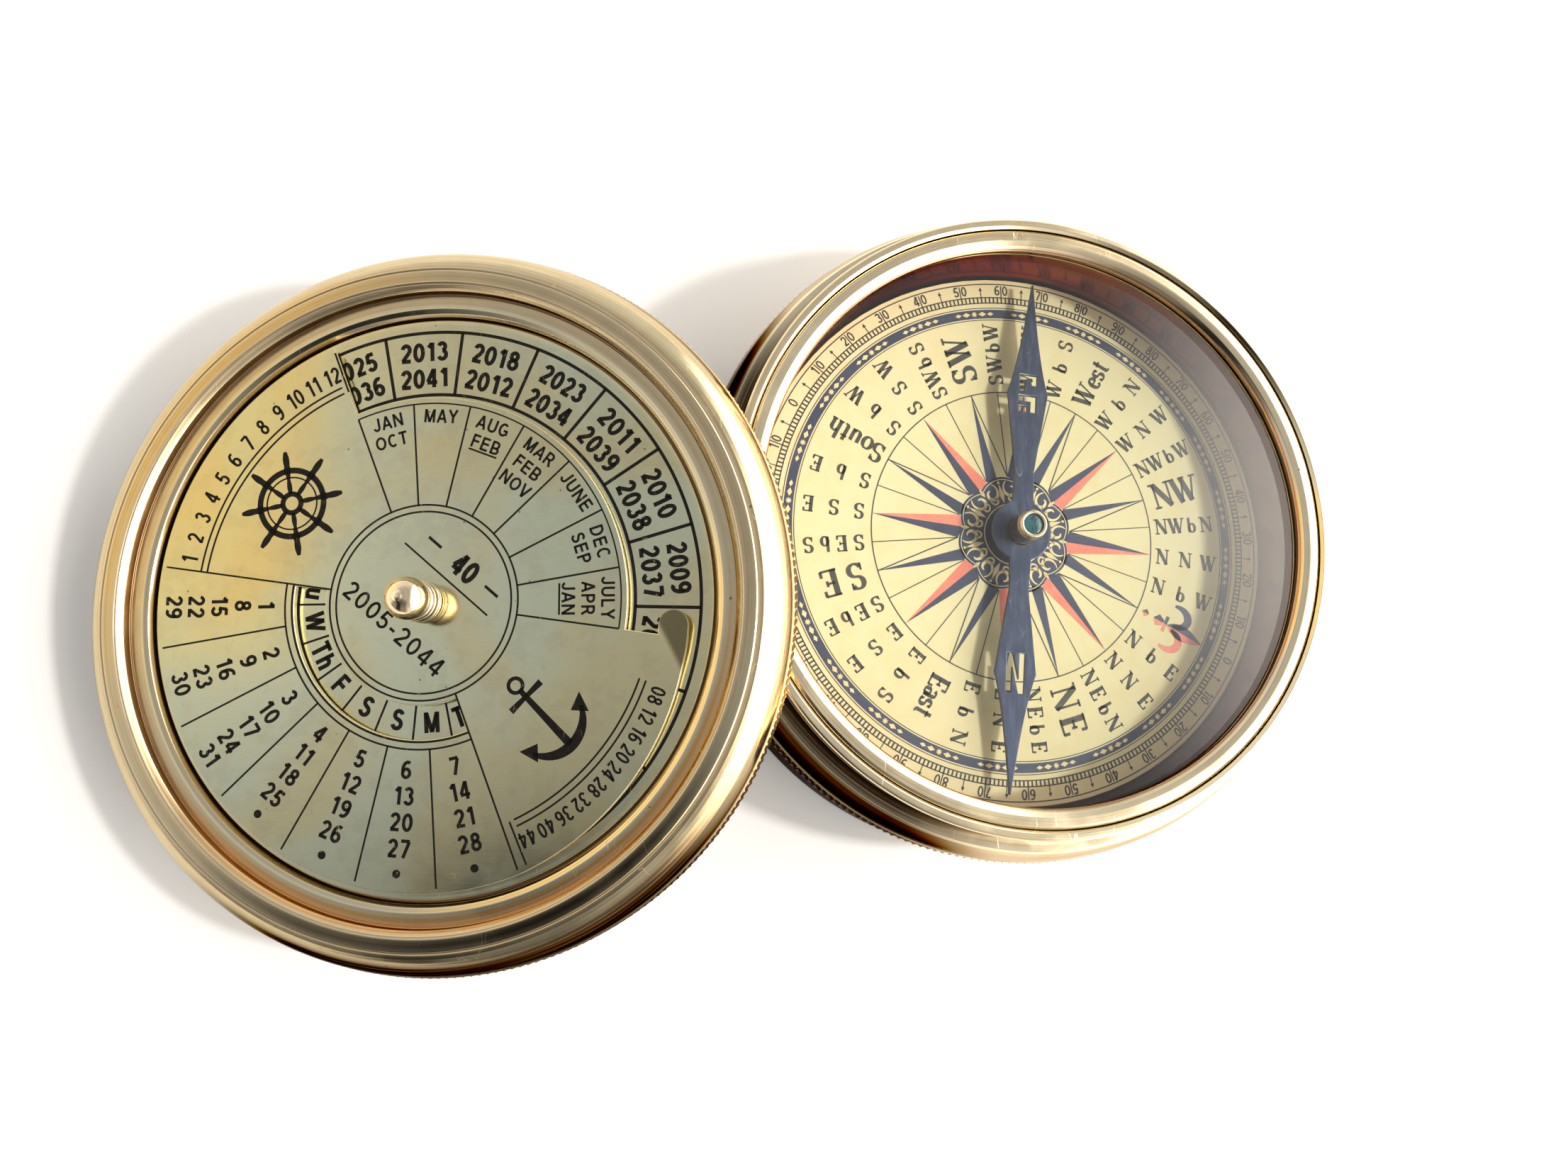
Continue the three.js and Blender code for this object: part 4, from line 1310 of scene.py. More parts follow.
    def build(self) -> None:
        """Makes and dresses the cup, its knurl and the ring."""
        self.bench.finish("cup_turning", self.shell(), "turned_brass", "case_cup")
        knurl = self.knurl.form(self.patina)
        self.bench.finish("cup_knurl", knurl, "shaded_knurl_brass", "case_cup", stands=False)
        self.bench.finish("bezel_ring", self.bezel(), "turned_brass", "retaining_ring")


@dataclass
class Card:
    """The printed card, the glass over it, and the stud that carries the needle."""

    bench: Bench
    serif: SerifType
    plain: PlainType
    top: float = 12.4
    north: float = -28.6
    outer_line: float = 31.15
    ladder: Pair = (28.75, 29.45)
    figures: float = 30.35
    figure_height: float = 1.25
    navy_band: Pair = (26.8, 27.9)
    clusters: int = 24
    lozenge_step: float = 2.15
    labels: Pair = (19.0, 25.0)
    label_height: float = 1.85
    short_labels: Pair = (20.1, 23.2)
    short_height: float = 3.1
    word_middle: float = 21.9
    word_height: float = 2.4
    star: float = 17.45
    rosette: float = 7.1
    point: float = 11.25
    hair: float = 0.14
    glass: Triple = (33.8, 19.2, 20.4)

    def azimuth(self, bearing: float) -> float:
        """Angle on the card of a compass bearing."""
        return self.north - bearing

    def fill(self, ink: Print, outline: Table, azimuth: float) -> None:
        """Adds a filled outline drawn along +X, turned to an azimuth."""
        ink.shape(spun(np.array(outline, float), azimuth))

    def point_names(self) -> list[str]:
        """The 32 points from north, clockwise, with b for by."""
        quarter = "N NbE NNE NEbN NE NEbE ENE EbN E EbS ESE SEbE SE SEbS SSE SbE"
        half = "S SbW SSW SWbS SW SWbW WSW WbS W WbN WNW NWbW NW NWbN NNW NbW"
        return quarter.split() + half.split()

    def black(self) -> Print:
        """Circles, the ladder of degrees, figures, arrows, thin rays and the names of the points."""
        ink = Print()
        for radius in (self.outer_line, *self.ladder, self.star):
            ink.line(radius, self.hair)
        for radius in (self.navy_band[0] - 0.2, self.navy_band[1] + 0.2):
            ink.line(radius, self.hair * 0.7)
        for degree in range(360):
            ink.spoke(*self.ladder, self.azimuth(degree), self.hair * 1.4)
        for degree in range(0, 360, 5):
            self.mark_degree(ink, degree)
        for ray in range(1, 32, 2):
            ink.spoke(self.rosette, self.star, self.azimuth(ray * self.point), self.hair * 0.8)
        for ray in range(0, 32, 4):
            side = np.linspace(*self.half_ray(-1)[:2], 6)
            ink.stroke(spun(side, self.azimuth(ray * self.point)), self.hair)
        words = {"E": "East", "S": "South", "W": "West"}
        for place, name in enumerate(self.point_names()[1:], 1):
            azimuth = self.azimuth(place * self.point)
            if name in words:
                self.serif.word(ink, words[name], self.word_height, self.word_middle, azimuth)
            elif len(name) == 2:
                self.serif.spread(ink, name, self.short_height, *self.short_labels, azimuth)
            else:
                self.serif.spread(ink, name, self.label_height, *self.labels, azimuth)
        return ink

    def mark_degree(self, ink: Print, degree: int) -> None:
        """A figure from 0 at north and south to 90 at east and west, split by its tick, or an arrow."""
        azimuth, r = self.azimuth(degree), self.figures
        value = abs((degree + 90) % 180 - 90)
        if value % 10:
            ink.spoke(self.ladder[1], r + 0.2, azimuth, self.hair * 0.8)
            self.fill(ink, [[r - 0.05, 0.22], [r + 0.42, 0], [r - 0.05, -0.22]], azimuth)
        elif value == 0:
            self.plain.write_round(ink, "0", self.figure_height, r, azimuth, Rows.OUTWARDS)
        else:
            ink.spoke(self.ladder[1], r + 0.62, azimuth, self.hair)
            for mark, side in zip(str(value), (0.5, -0.5)):
                at = spun(np.array([r, side]), azimuth)
                self.plain.write(ink, mark, self.figure_height, at, azimuth - 90, squeeze=0.9)

    def half_ray(self, side: int) -> Array:
        """Half a star ray along +X: from the tip to its foot on the rosette, on one side."""
        foot = self.rosette * 0.99
        return np.array([[self.star, 0], polar(foot, self.point * side), [foot * 0.9, 0]])

    def scallop(self) -> Array:
        """The rosette's edge: a circle whose radius swells eight times."""
        angle = np.linspace(0, 360, 144, endpoint=False)
        return polar(self.rosette * (0.9 + 0.1 * np.abs(np.cos(4 * np.radians(angle)))), angle + self.north)

    def navy(self) -> Print:
        """The band round the names, the dark half of each ray, the rosette and half the lily."""
        ink = Print()
        ink.ring(*self.navy_band)
        for ray in range(16):
            ink.shape(spun(self.half_ray(1), self.azimuth(2 * ray * self.point)))
        ink.shape(self.scallop())
        self.lily(ink, 1)
        return ink

    def rose(self) -> Print:
        """The red half of every second ray and half the lily."""
        ink = Print()
        for ray in range(1, 16, 2):
            ink.shape(spun(self.half_ray(-1), self.azimuth(2 * ray * self.point)))
        self.lily(ink, -1)
        return ink

    def lily(self, ink: Print, side: int) -> None:
        """One side of the lily over north: half a middle leaf, a curled side leaf, a band and a stud."""
        north, t = self.azimuth(0), np.linspace(0, 1, 15)
        leaf = np.stack([21.6 + 5.0 * t, side * 0.95 * np.sin(math.pi * t**0.8)], -1)
        ink.band(spun(leaf, north), spun(leaf * [1, 0], north))
        turn = np.radians(np.linspace(0, 205, 21))
        curl = np.stack([22.3 + 1.55 * np.sin(turn), side * (0.3 + 1.35 * (1 - np.cos(turn)) * 0.9)], -1)
        ink.stroke(spun(curl, north), 0.25 + 0.75 * np.sin(np.linspace(0.15, math.pi - 0.1, 21)))
        for part in (
            [[21.15, 0], [21.15, side * 1.0], [21.6, side * 1.0], [21.6, 0]],
            [[19.7, 0], [20.3, side * 0.75], [21.1, side * 0.35], [21.1, 0]],
            [[18.1, 0], [18.6, side * 0.5], [19.1, 0]],
        ):
            self.fill(ink, part, north)

    def cream(self) -> Print:
        """Pale stars and lozenges on the band, and leaf scrolls on the rosette."""
        ink, middle = Print(), [sum(self.navy_band) / 2, 0]
        corner = np.arange(16)
        burst = polar(np.where(corner % 2, 0.2, 0.4), corner * 22.5)
        for cluster in range(self.clusters):
            azimuth = self.azimuth((cluster + 0.5) * 360 / self.clusters)
            self.fill(ink, burst + middle, azimuth)
            for step in (-2, -1, 1, 2):
                size = 0.36 - 0.06 * abs(step)
                lozenge = np.array([[size, 0], [0, size * 1.7], [-size, 0], [0, -size * 1.7]])
                self.fill(ink, lozenge + middle, azimuth + step * self.lozenge_step)
        leaf = np.array([[3.9, 0], [4.9, 0.3], [6.3, 0], [4.9, -0.3]])
        for lobe in range(8):
            azimuth = self.azimuth(4 * lobe * self.point)
            for side in (1, -1):
                self.scroll(ink, azimuth, side, 5.35, 1.15)
                self.scroll(ink, azimuth + 2 * self.point, side, 4.5, 0.7)
            self.fill(ink, leaf, azimuth)
            self.fill(ink, leaf * [0.5, 0.8] + [3.6, 0], azimuth + 2 * self.point)
            ink.shape(arc_points(0.16, 0, 340, 9) + polar(6.45, azimuth))
        ink.line(3.7, 0.14)
        edge = self.scallop()
        ink.stroke(np.concatenate([edge, edge[:1]]) * 0.955, 0.09)
        return ink

    def scroll(self, ink: Print, azimuth: float, side: int, middle: float, size: float) -> None:
        """A leaf scroll: a stroke whose bend tightens to its end and whose width swells in the middle.

        Args:
            ink: The print.
            azimuth: Where it stands.
            side: 1 or -1, the way that it bends.
            middle: Radius about which it bends.
            size: Its reach at the start.
        """
        t = np.linspace(0, 1, 22)
        turn, reach = np.radians(20 + 330 * t), size * (1 - 0.72 * t)
        across = side * (size * 1.09 - reach * np.sin(turn) * 0.85)
        curve = np.stack([middle + reach * np.cos(turn), across], -1)
        ink.stroke(spun(curve, azimuth), size * (0.09 + 0.25 * np.sin(math.pi * t)))

    def stud(self) -> Form:
        """The turned stud: shank, collar and sharp pin."""
        corners = [
            (0, 9.25, 0), (0.8, 9.25, 0.1), (0.8, 12.45, 0), (1.7, 12.45, 0.08), (1.7, 13.0, 0.12),
            (0.45, 13.0, 0.08), (0.45, 16.35, 0.05), (0, 17.65, 0),
        ]
        return turned(corners, 48, closed=False)

    def pane(self) -> Form:
        """The glass: a flat disc with ground edges."""
        radius, bottom, top = self.glass
        corners = [(0, bottom, 0), (radius, bottom, 0.12), (radius, top, 0.12), (0, top, 0)]
        return turned(corners, 192, closed=False)

    def build(self) -> None:
        """Makes the prints in their order of lying on each other, then the stud and the glass."""
        bench = self.bench
        bench.dress("compass_card", "card_paper")
        bench.dress("dial_plate", "inner_brass")
        bench.dress("pivot_nut", "inner_brass")
        prints = {"rose": self.rose(), "navy": self.navy(), "black": self.black(), "cream": self.cream()}
        for layer, (colour, ink) in enumerate(prints.items(), 3):
            form = ink.form(self.top - 0.05, self.top + 0.004 * layer)
            bench.finish(f"card_{colour}_print", form, f"{colour}_ink", "compass_card", stands=False)
        bench.finish("needle_stud", self.stud(), "turned_steel", "pivot_stud")
        bench.finish("dial_glass", self.pane(), "clear_glass", "glass")


# Needle


@dataclass
class Needle:
    """The blued needle with its two cut letters, its brass tube and its jewel."""

    bench: Bench
    bottom: float = 14.3
    thickness: float = 0.5
    half_length: float = 30.4
    hub: float = 3.6
    neck: float = 1.3
    waist: Pair = (1.15, 7.0)
    shoulder: Pair = (2.5, 16.7)
    tip: float = 0.08
    south: float = 85.4
    letter: Pair = (2.2, 4.6)
    stroke: float = 0.7
    tube: float = 1.7
    bore: float = 1.0
    top: float = 18.4

    def outline(self) -> Array:
        """The outline, anticlockwise: a quarter of it, with +Y along the needle, mirrored both ways."""
        leave = math.degrees(math.acos(self.neck / self.hub))
        t, high = np.linspace(0, 1, 14)[:, None], self.shoulder[1]
        tip, pull = [self.tip, self.half_length], [self.waist[0], high + 0.3 * (self.half_length - high)]
        flank = (1 - t) ** 2 * self.shoulder + 2 * t * (1 - t) * np.array(pull) + t**2 * tip
        q = np.concatenate([arc_points(self.hub, 0, leave, 9), [self.waist], flank])
        return np.concatenate([q, (q * [-1, 1])[::-1], (q * [-1, -1])[1:], (q * [1, -1])[::-1][:-1]])

    def letters(self) -> list[Array]:
        """The N as one opening, and the S as three with bridges between them."""
        x, y, w = self.letter[0] / 2, self.letter[1] / 2, self.stroke
        inner, low, high = x - w, y * 0.12, y * 0.45
        n = [
            (-x, -y), (-inner, -y), (-inner, y * 0.3), (inner, -y), (x, -y),
            (x, y), (inner, y), (inner, -y * 0.3), (-inner, y), (-x, y),
        ]
        hook = [(-x, low), (-inner, low), (-inner, y - w), (inner, y - w),
                (inner, high), (x, high), (x, y), (-x, y)]
        foot = [(inner, -y), (x, -y), (x, -low), (-x, -low), (-x, -low - w), (inner, -low - w)]
        serif = [(-x, -y), (0, -y), (0, w - y), (-x, w - y)]
        places = (n, -self.shoulder[1]), *((part, self.shoulder[1]) for part in (hook, foot, serif))
        return [(np.array(part) + [0, place])[::-1] for part, place in places]

    def blade(self) -> Form:
        """The strip, with rounded edges, turned to its bearing."""
        hole = arc_points(self.tube + 0.1, 360, 0, 41)[:-1]
        form = sheet(self.outline(), [hole, *self.letters()], self.bottom, self.bottom + self.thickness, 0.07)
        form.points[:, :2] = spun(form.points[:, :2], self.south - 90)
        return form

    def cap(self) -> Form:
        """The brass tube: a flange below, a plain wall and a rolled lip round the jewel."""
        foot, tube, top = self.bottom - 0.4, self.tube, self.top
        # Fourth column: tarnish and painted shade.
        corners = [
            (self.bore, foot, 0.05, 0.5), (2.3, foot, 0.1), (2.3, foot + 0.35, 0.12),
            (tube, foot + 0.35, 0.03, 0.3), (tube, top - 0.75, 0.05), (tube - 0.08, top - 0.62, 0.03, 0.4),
            (tube, top - 0.48, 0.05), (tube, top - 0.22, 0.08), (1.52, top, 0.08), (1.22, top, 0.06),
            (1.22, top - 1.05, 0, 0.8), (self.bore, top - 1.05, 0, 0.8),
        ]
        return turned(corners, 96, steps=3)

    def jewel(self) -> Form:
        """The domed jewel with the pin's hollow below."""
        base, turn = self.top - 1.0, np.linspace(0.1, 1.45, 8)
        dome = [(1.2 * math.cos(a), self.top - 0.35 + 0.15 * math.sin(a), 0) for a in turn]
        corners = [(0, base + 0.4, 0), (0.6, base, 0.05), (1.2, base, 0.05), *dome, (0, self.top - 0.2, 0)]
        return turned(corners, 64, closed=False)

    def build(self) -> None:
        """Makes and dresses the needle's three pieces."""
        self.bench.finish("needle_blade", self.blade(), "blued_steel", "needle")
        self.bench.finish("needle_tube", self.cap(), "champagne_brass", "needle_cap")
        self.bench.finish("needle_jewel", self.jewel(), "jewel_stone", "cap_jewel")


# Lid


@dataclass
class Calendar:
    """Which years, months and days share a cell of the perpetual calendar."""

    first: int = 2005
    last: int = 2044
    cell: float = 360 / 21
    months: tuple[str, ...] = (
        "JAN OCT", "MAY", "AUG _FEB", "MAR FEB NOV", "JUNE", "DEC SEP", "JULY APR _JAN",
    )
    days: tuple[str, ...] = ("Tu", "W", "Th", "F", "S", "S", "M")
    shown: tuple[tuple[int, int], ...] = (
        (2025, 2036), (2013, 2041), (2018, 2012), (2023, 2034), (2011, 2039), (2010, 2038), (2009, 2037),
    )

    def start_day(self, year: int) -> int:
        """Day of the week on which the year's common months start.

        Formula: the year plus its quarter, less its hundredth, plus its four-hundredth, modulo 7.
        """
        return (year + year // 4 - year // 100 + year // 400) % 7

    def year_cells(self) -> list[list[int]]:
        """Years of the 21 cells, two to a cell, clockwise. Cells seven apart share their start day."""
        rest = [
            [y for y in range(self.first, self.last + 1)
             if self.start_day(y) == self.start_day(pair[0]) and y not in pair]
            for pair in self.shown
        ]
        return [list(pair) for pair in self.shown] + [r[:2] for r in rest] + [r[2:4] for r in rest]


@dataclass
class Lid:
    """The lid's shell with its knurled edge, and the year disc in its recess."""

    bench: Bench
    plain: PlainType
    calendar: Calendar
    lip_radius: float = 37.0
    knurl: Knurl = Knurl(bottom=1.2, width=2.6, let_in=1.0, rows=8, teeth=276, depth=0.24)
    chamfer: float = 0.3
    shoulder_inner: float = 35.3
    shoulder_height: float = 7.6
    shoulder_bulge: float = 0.55
    ring_inner: float = 32.6
    ring_height: float = 7.87
    ledge_height: float = 6.2
    ledge_inner: float = 30.3
    web_top: float = 4.8
    web_bottom: float = 3.65
    cavity: float = 35.5
    hole: float = 1.5
    disc_radius: float = 30.0
    disc_bottom: float = 4.9
    disc_top: float = 5.6
    year_line: Pair = (21.95, 28.7)
    year_rows: Pair = (26.6, 23.75)
    year_height: float = 2.0
    first_boundary: float = 84.2
    day_boundary: float = 180.2
    day_line: Pair = (10.35, 14.15)
    day_height: float = 2.1
    line: float = 0.22
    # Azimuth, reach and fade of a painted dark reflection, then of a painted orange reflection.
    patina: Triple = (283.0, 30.0, 32.0)
    amber: Triple = (285.0, 45.0, 35.0)

    def shell(self) -> Form:
        """The shell: lip, edge, swelling shoulder, rounded ring, ledge, recess, web and cavity."""
        bottom, top, edge = self.knurl.bottom, self.knurl.bottom + self.knurl.width, self.knurl.radius
        low, high, share = self.ledge_height, self.ring_height, np.linspace(0, 1, 11)
        lip, outer, inner, ledge = self.lip_radius, self.shoulder_inner, self.ring_inner, self.ledge_inner
        shoulder = np.linspace((edge - self.chamfer, top + self.chamfer), (outer, self.shoulder_height), 11)
        swell = self.shoulder_bulge * 4 * share * (1 - share)
        bulged = shoulder - left(shoulder[-1] - shoulder[0]) * swell[:, None]
        # Fourth column: tarnish and painted shade; the shoulder darkens towards the knurled edge as painted
        # shade.
        tones = np.linspace(0.75, 0, 5).tolist() + [0.0] * 5
        corners = [
            (self.hole, self.web_bottom, 0.05, 0.4), (self.cavity, self.web_bottom, 0.2, 0.6),
            (self.cavity, 0, 0.1, 0.3), (lip, 0, 0.12, 0.8), (lip + 0.4, 0.4, 0.1, 0.8),
            (lip + 0.4, bottom - self.chamfer, 0.05, 0.9), (edge - 0.1, bottom + 0.04, 0.08, 0.1),
            (edge - 0.42, bottom + 0.4, 0), (edge - 0.42, top - 0.4, 0), (edge - 0.1, top - 0.02, 0.08, 0.1),
            *[(r, z, 0, tone) for (r, z), tone in zip(bulged[:-1], tones)],
            (outer, self.shoulder_height, 0.05), (outer - 0.4, high - 0.14, 0.1),
            (outer - 0.55, high - 0.22, 0.03, 0.8), (outer - 0.68, high - 0.05, 0.05),
            (inner + 0.75, high, 0.06), (inner + 0.62, high - 0.12, 0.03, 0.5),
            (inner + 0.5, high - 0.12, 0.05),
            (inner + 0.24, high - 0.4, 0.1, 0.6), (inner, high - 0.7, 0.1, 0.85), (inner, low, 0.08, 0.85),
            (inner - 0.14, low, 0.03, 0.5), (inner - 0.24, low + 0.1, 0.05), (ledge + 0.75, low + 0.08, 0.1),
            (ledge + 0.3, low - 0.1, 0.15, 0.2), (ledge, low - 0.5, 0.1, 0.7),
            (ledge, self.web_top, 0.05, 0.95),
            (self.hole, self.web_top, 0.05, 0.7),
        ]
        form = turned(corners, 288)
        radius, height = form.radius(), form.points[:, 2]
        # Painted dark reflection on one side over the lower shoulder and the ring's crest, and a painted
        # orange reflection in the ring's recess.
        slope = (radius > outer) * np.interp(height, (6.8, 7.5), (1.0, 0.1))
        crest = (height > high - 0.3) * np.interp(radius, (33.2, 33.5, 34.7, 34.9), (0, 0.8, 0.8, 0))
        form.masks["patina"] = patina(form, *self.patina) * np.maximum(slope, crest)
        band = np.interp(radius, (31.5, 31.7, 32.85, 33.0), (0, 1, 1, 0)) * (height > low - 0.1)
        form.masks["amber"] = band * patina(form, *self.amber)
        return form

    def disc(self) -> Form:
        """The year disc: a flat washer with broken edges."""
        corners = [
            (self.hole, self.disc_bottom, 0.05), (self.disc_radius, self.disc_bottom, 0.08),
            (self.disc_radius, self.disc_top, 0.12), (self.hole, self.disc_top, 0.05),
        ]
        return turned(corners)

    def years(self) -> Print:
        """The years in 21 cells, two rows to a cell, and the days round the middle."""
        ink, cell = Print(), self.calendar.cell
        for radius in self.year_line:
            ink.line(radius, self.line * 1.55)
        for radius in self.day_line:
            ink.line(radius, self.line)
        manner = {"pen": 0.215, "length": 5.15}
        for count, pair in enumerate(self.calendar.year_cells()):
            edge = self.first_boundary + cell * (2 - count)
            ink.spoke(*self.year_line, edge, self.line * 1.55)
            for year, radius in zip(pair, self.year_rows):
                at = radius, edge - cell / 2
                self.plain.write_round(ink, str(year), self.year_height, *at, Rows.OUTWARDS, **manner)
        for count in range(21):
            edge = self.day_boundary + cell * (count - 1)
            ink.spoke(*self.day_line, edge, self.line)
            day, at = self.calendar.days[count % 7], (sum(self.day_line) / 2, edge + cell / 2)
            self.plain.write_round(ink, day, self.day_height, *at, Rows.INWARDS, pen=0.205)
        return ink

    def build(self) -> None:
        """Makes and dresses the lid's shell, its knurl and the year disc with its print."""
        bench = self.bench
        bench.finish("lid_turning", self.shell(), "tan_brass", "lid_shell")
        bench.finish("lid_knurl", self.knurl.form(self.patina), "shaded_knurl_brass", "lid_shell", stands=False)
        bench.finish("year_sheet", self.disc(), "plate_brass", "year_disc")
        marks = self.years().form(self.disc_top - 0.05, self.disc_top + 0.02)
        bench.finish("year_print", marks, "black_enamel", "year_disc", stands=False)


@dataclass
class CalendarPlate:
    """The turning plate with its months, dates, window and bent-up ear, and the knob that turns it."""

    bench: Bench
    plain: PlainType
    calendar: Calendar
    radius: float = 29.2
    bottom: float = 5.9
    top: float = 6.6
    months_radius: float = 21.4
    months: Pair = (-8.0, 112.0)
    dates: Pair = (172.0, 292.0)
    window: Pair = (10.55, 14.0)
    margin: float = 0.5
    thumb_radius: float = 27.9
    ear_from: float = 344.0
    ear_inner: float = 24.8
    ear_to: float = 354.2
    ear_width: float = 3.2
    ear_lift: float = 0.22
    hole: float = 1.3
    circles: Pair = (9.35, 10.05)
    month_rows: Triple = (19.4, 17.35, 15.3)
    month_height: float = 1.4
    month_edge: float = 20.75
    date_rows: tuple[float, ...] = (17.0, 19.6, 22.2, 24.8, 27.3)
    date_height: float = 1.8
    date_edge: float = 14.95
    band_row: float = 26.3
    band_heights: Pair = (1.85, 1.6)
    band_lines: Pair = (24.75, 24.05)
    wheel: Pair = (18.1, 144.5)
    anchored: Pair = (17.4, 318.5)
    line: float = 0.19

    def outline(self) -> Array:
        """The plate's edge: months arc, full arc, drawn-in thumb edge and the ear's round end."""
        share = np.linspace(0, 1, 22)[1:]
        angle = self.dates[1] + (self.ear_from - self.dates[1]) * share
        tip = polar(self.thumb_radius - self.ear_width / 2, self.ear_to)
        return np.concatenate([
            arc_points(self.months_radius, self.months[1], self.months[0], 90)[::-1],
            arc_points(self.radius, self.months[1], self.dates[1], 150),
            polar(self.radius + (self.thumb_radius - self.radius) * share, angle),
            arc_points(self.thumb_radius, (self.ear_from + self.ear_to) / 2, self.ear_to - 3, 3),
            tip + arc_points(self.ear_width / 2, self.ear_to - 360, self.ear_to - 180, 15),
            polar(self.ear_inner, self.months[0])[None],
        ])

    def plate(self) -> Form:
        """The plate with its window, its ear bent up beyond the fold.

        Formula: the height beyond the fold grows by the lift times the distance from the fold.
        """
        start, end = self.dates[0] + self.margin, self.dates[1] - self.margin
        opening = np.concatenate([
            arc_points(self.window[1], end, start, 90), arc_points(self.window[0], start, end, 90),
        ])
        hole = arc_points(self.hole, 360, 0, 33)[:-1]
        outer, inner = polar(self.thumb_radius, self.ear_from), polar(self.ear_inner, self.months[0])
        form = sheet(self.outline(), [opening, hole], self.bottom, self.top, 0.09, [(outer, inner)])
        beyond = (outer - form.points[:, :2]) @ left(inner - outer)
        near_ear = np.hypot(*(form.points[:, :2] - (outer + inner) / 2).T) < 8
        form.points[:, 2] += np.where(near_ear, self.ear_lift * np.maximum(beyond, 0), 0)
        return form

    def marks(self) -> Print:
        """Everything printed on the plate."""
        ink, years = Print(), range(self.calendar.first, self.calendar.last + 1)
        for radius in self.circles:
            ink.line(radius, self.line)
        self.print_months(ink)
        self.print_dates(ink)
        numbers, leaps = [str(n) for n in range(1, 13)], [f"{y % 100:02d}" for y in years if y % 4 == 0]
        self.print_band(ink, self.months[1], self.dates[0], numbers, self.band_heights[0])
        self.print_band(ink, self.dates[1] + 2, self.ear_from - 3, leaps, self.band_heights[1])
        self.print_middle(ink)
        ink.stamp(self.ship_wheel(), polar(*self.wheel))
        ink.stamp(self.anchor(), polar(*self.anchored), 45, 0.92)
        return ink

    def print_months(self, ink: Print) -> None:
        """Seven cells of months, from the left, tops outwards. Leap years' months are underlined."""
        ink.line(self.month_edge, self.line * 0.8, *self.months)
        for count in range(8):
            edge = self.months[1] - self.calendar.cell * count
            ink.spoke(self.circles[1], self.month_edge, edge, self.line)
        manner = {"pen": 0.175, "squeeze": 1.08}
        for count, names in enumerate(self.calendar.months):
            middle = self.months[1] - self.calendar.cell * (count + 0.5)
            for name, radius in zip(names.split(), self.month_rows):
                given = name.strip("_"), self.month_height, radius, middle, Rows.OUTWARDS
                self.plain.write_round(ink, *given, **manner)
                if name.startswith("_"):
                    rule = np.array([[radius - 0.95, -1.6], [radius - 0.95, 1.6]])
                    ink.stroke(spun(rule, middle), self.line)

    def print_dates(self, ink: Print) -> None:
        """Seven cells of dates, smallest next to the window, tops to the centre, with dots to fill."""
        (start, end), cell = self.dates, self.calendar.cell
        ink.line(self.date_edge, self.line, start, end)
        ink.line(self.window[1] + 0.2, self.line * 1.2, start + 0.4, end - 0.4)
        for count in range(8):
            ink.spoke(self.date_edge, self.radius - 0.5, start + cell * count, self.line)
        for edge in self.dates:
            ink.spoke(self.circles[1], self.date_edge, edge, self.line)
        for count in range(7):
            middle = start + cell * (count + 0.5)
            for day, radius in zip(range(count + 1, 36, 7), self.date_rows):
                if day <= 31:
                    given = str(day), self.date_height, radius, middle, Rows.INWARDS
                    self.plain.write_round(ink, *given, pen=0.19, squeeze=1.0)
                else:
                    ink.shape(arc_points(0.42, 0, 345, 24) + polar(radius, middle))

    def print_band(self, ink: Print, start: float, end: float, figures: Sequence[str], height: float) -> None:
        """A double arc with plain figures between it and the edge.

        Args:
            ink: The print.
            start: Angle of its first edge.
            end: Angle of its last edge.
            figures: What it counts, spread evenly.
            height: Height of the figures.
        """
        for radius in self.band_lines:
            ink.line(radius, self.line, start + 1.2, end)
        ink.spoke(self.band_lines[1], self.radius - 0.6, start, self.line)
        for figure, middle in zip(figures, np.linspace(end, start, len(figures) * 2 + 1)[1::2]):
            self.plain.write_round(ink, figure, height, self.band_row, middle, Rows.OUTWARDS, squeeze=0.8)

    def print_middle(self, ink: Print) -> None:
        """The number of years and their span, reading down to the right."""
        slant, first, last = -40, self.calendar.first, self.calendar.last
        at = spun(np.array([[1.2, 5.4], [-0.6, -4.0]]), slant)
        self.plain.write(ink, str(last - first + 1), 2.35, at[0], slant, 0.21, 0.86)
        for x in (-3.1, 4.9):
            ink.stroke(spun(np.array([[x - 0.9, 5.4], [x + 0.9, 5.4]]), slant), self.line * 1.6)
        ink.stroke(spun(np.linspace((-5.6, 3.3), (6.2, 3.3), 9), slant), self.line)
        self.plain.write(ink, f"{first}-{last}", 1.95, at[1], slant, 0.15, length=13.6)

    def ship_wheel(self) -> Print:
        """A plain ship's wheel: rim, hub and eight spokes with turned handles."""
        mark, t = Print(), np.linspace(0, 1, 16)
        for radius, width in ((3.5, 0.62), (2.75, 0.16), (1.0, 0.55)):
            mark.line(radius, width)
        swell = 0.34 + 0.3 * np.sin(math.pi * t) * (t > 0.5) + 0.2 * np.abs(np.sin(3 * math.pi * t))
        for spoke in range(8):
            mark.stroke(spun(np.stack([1.0 + 4.6 * t, t * 0], -1), spoke * 45 + 11), swell)
        return mark

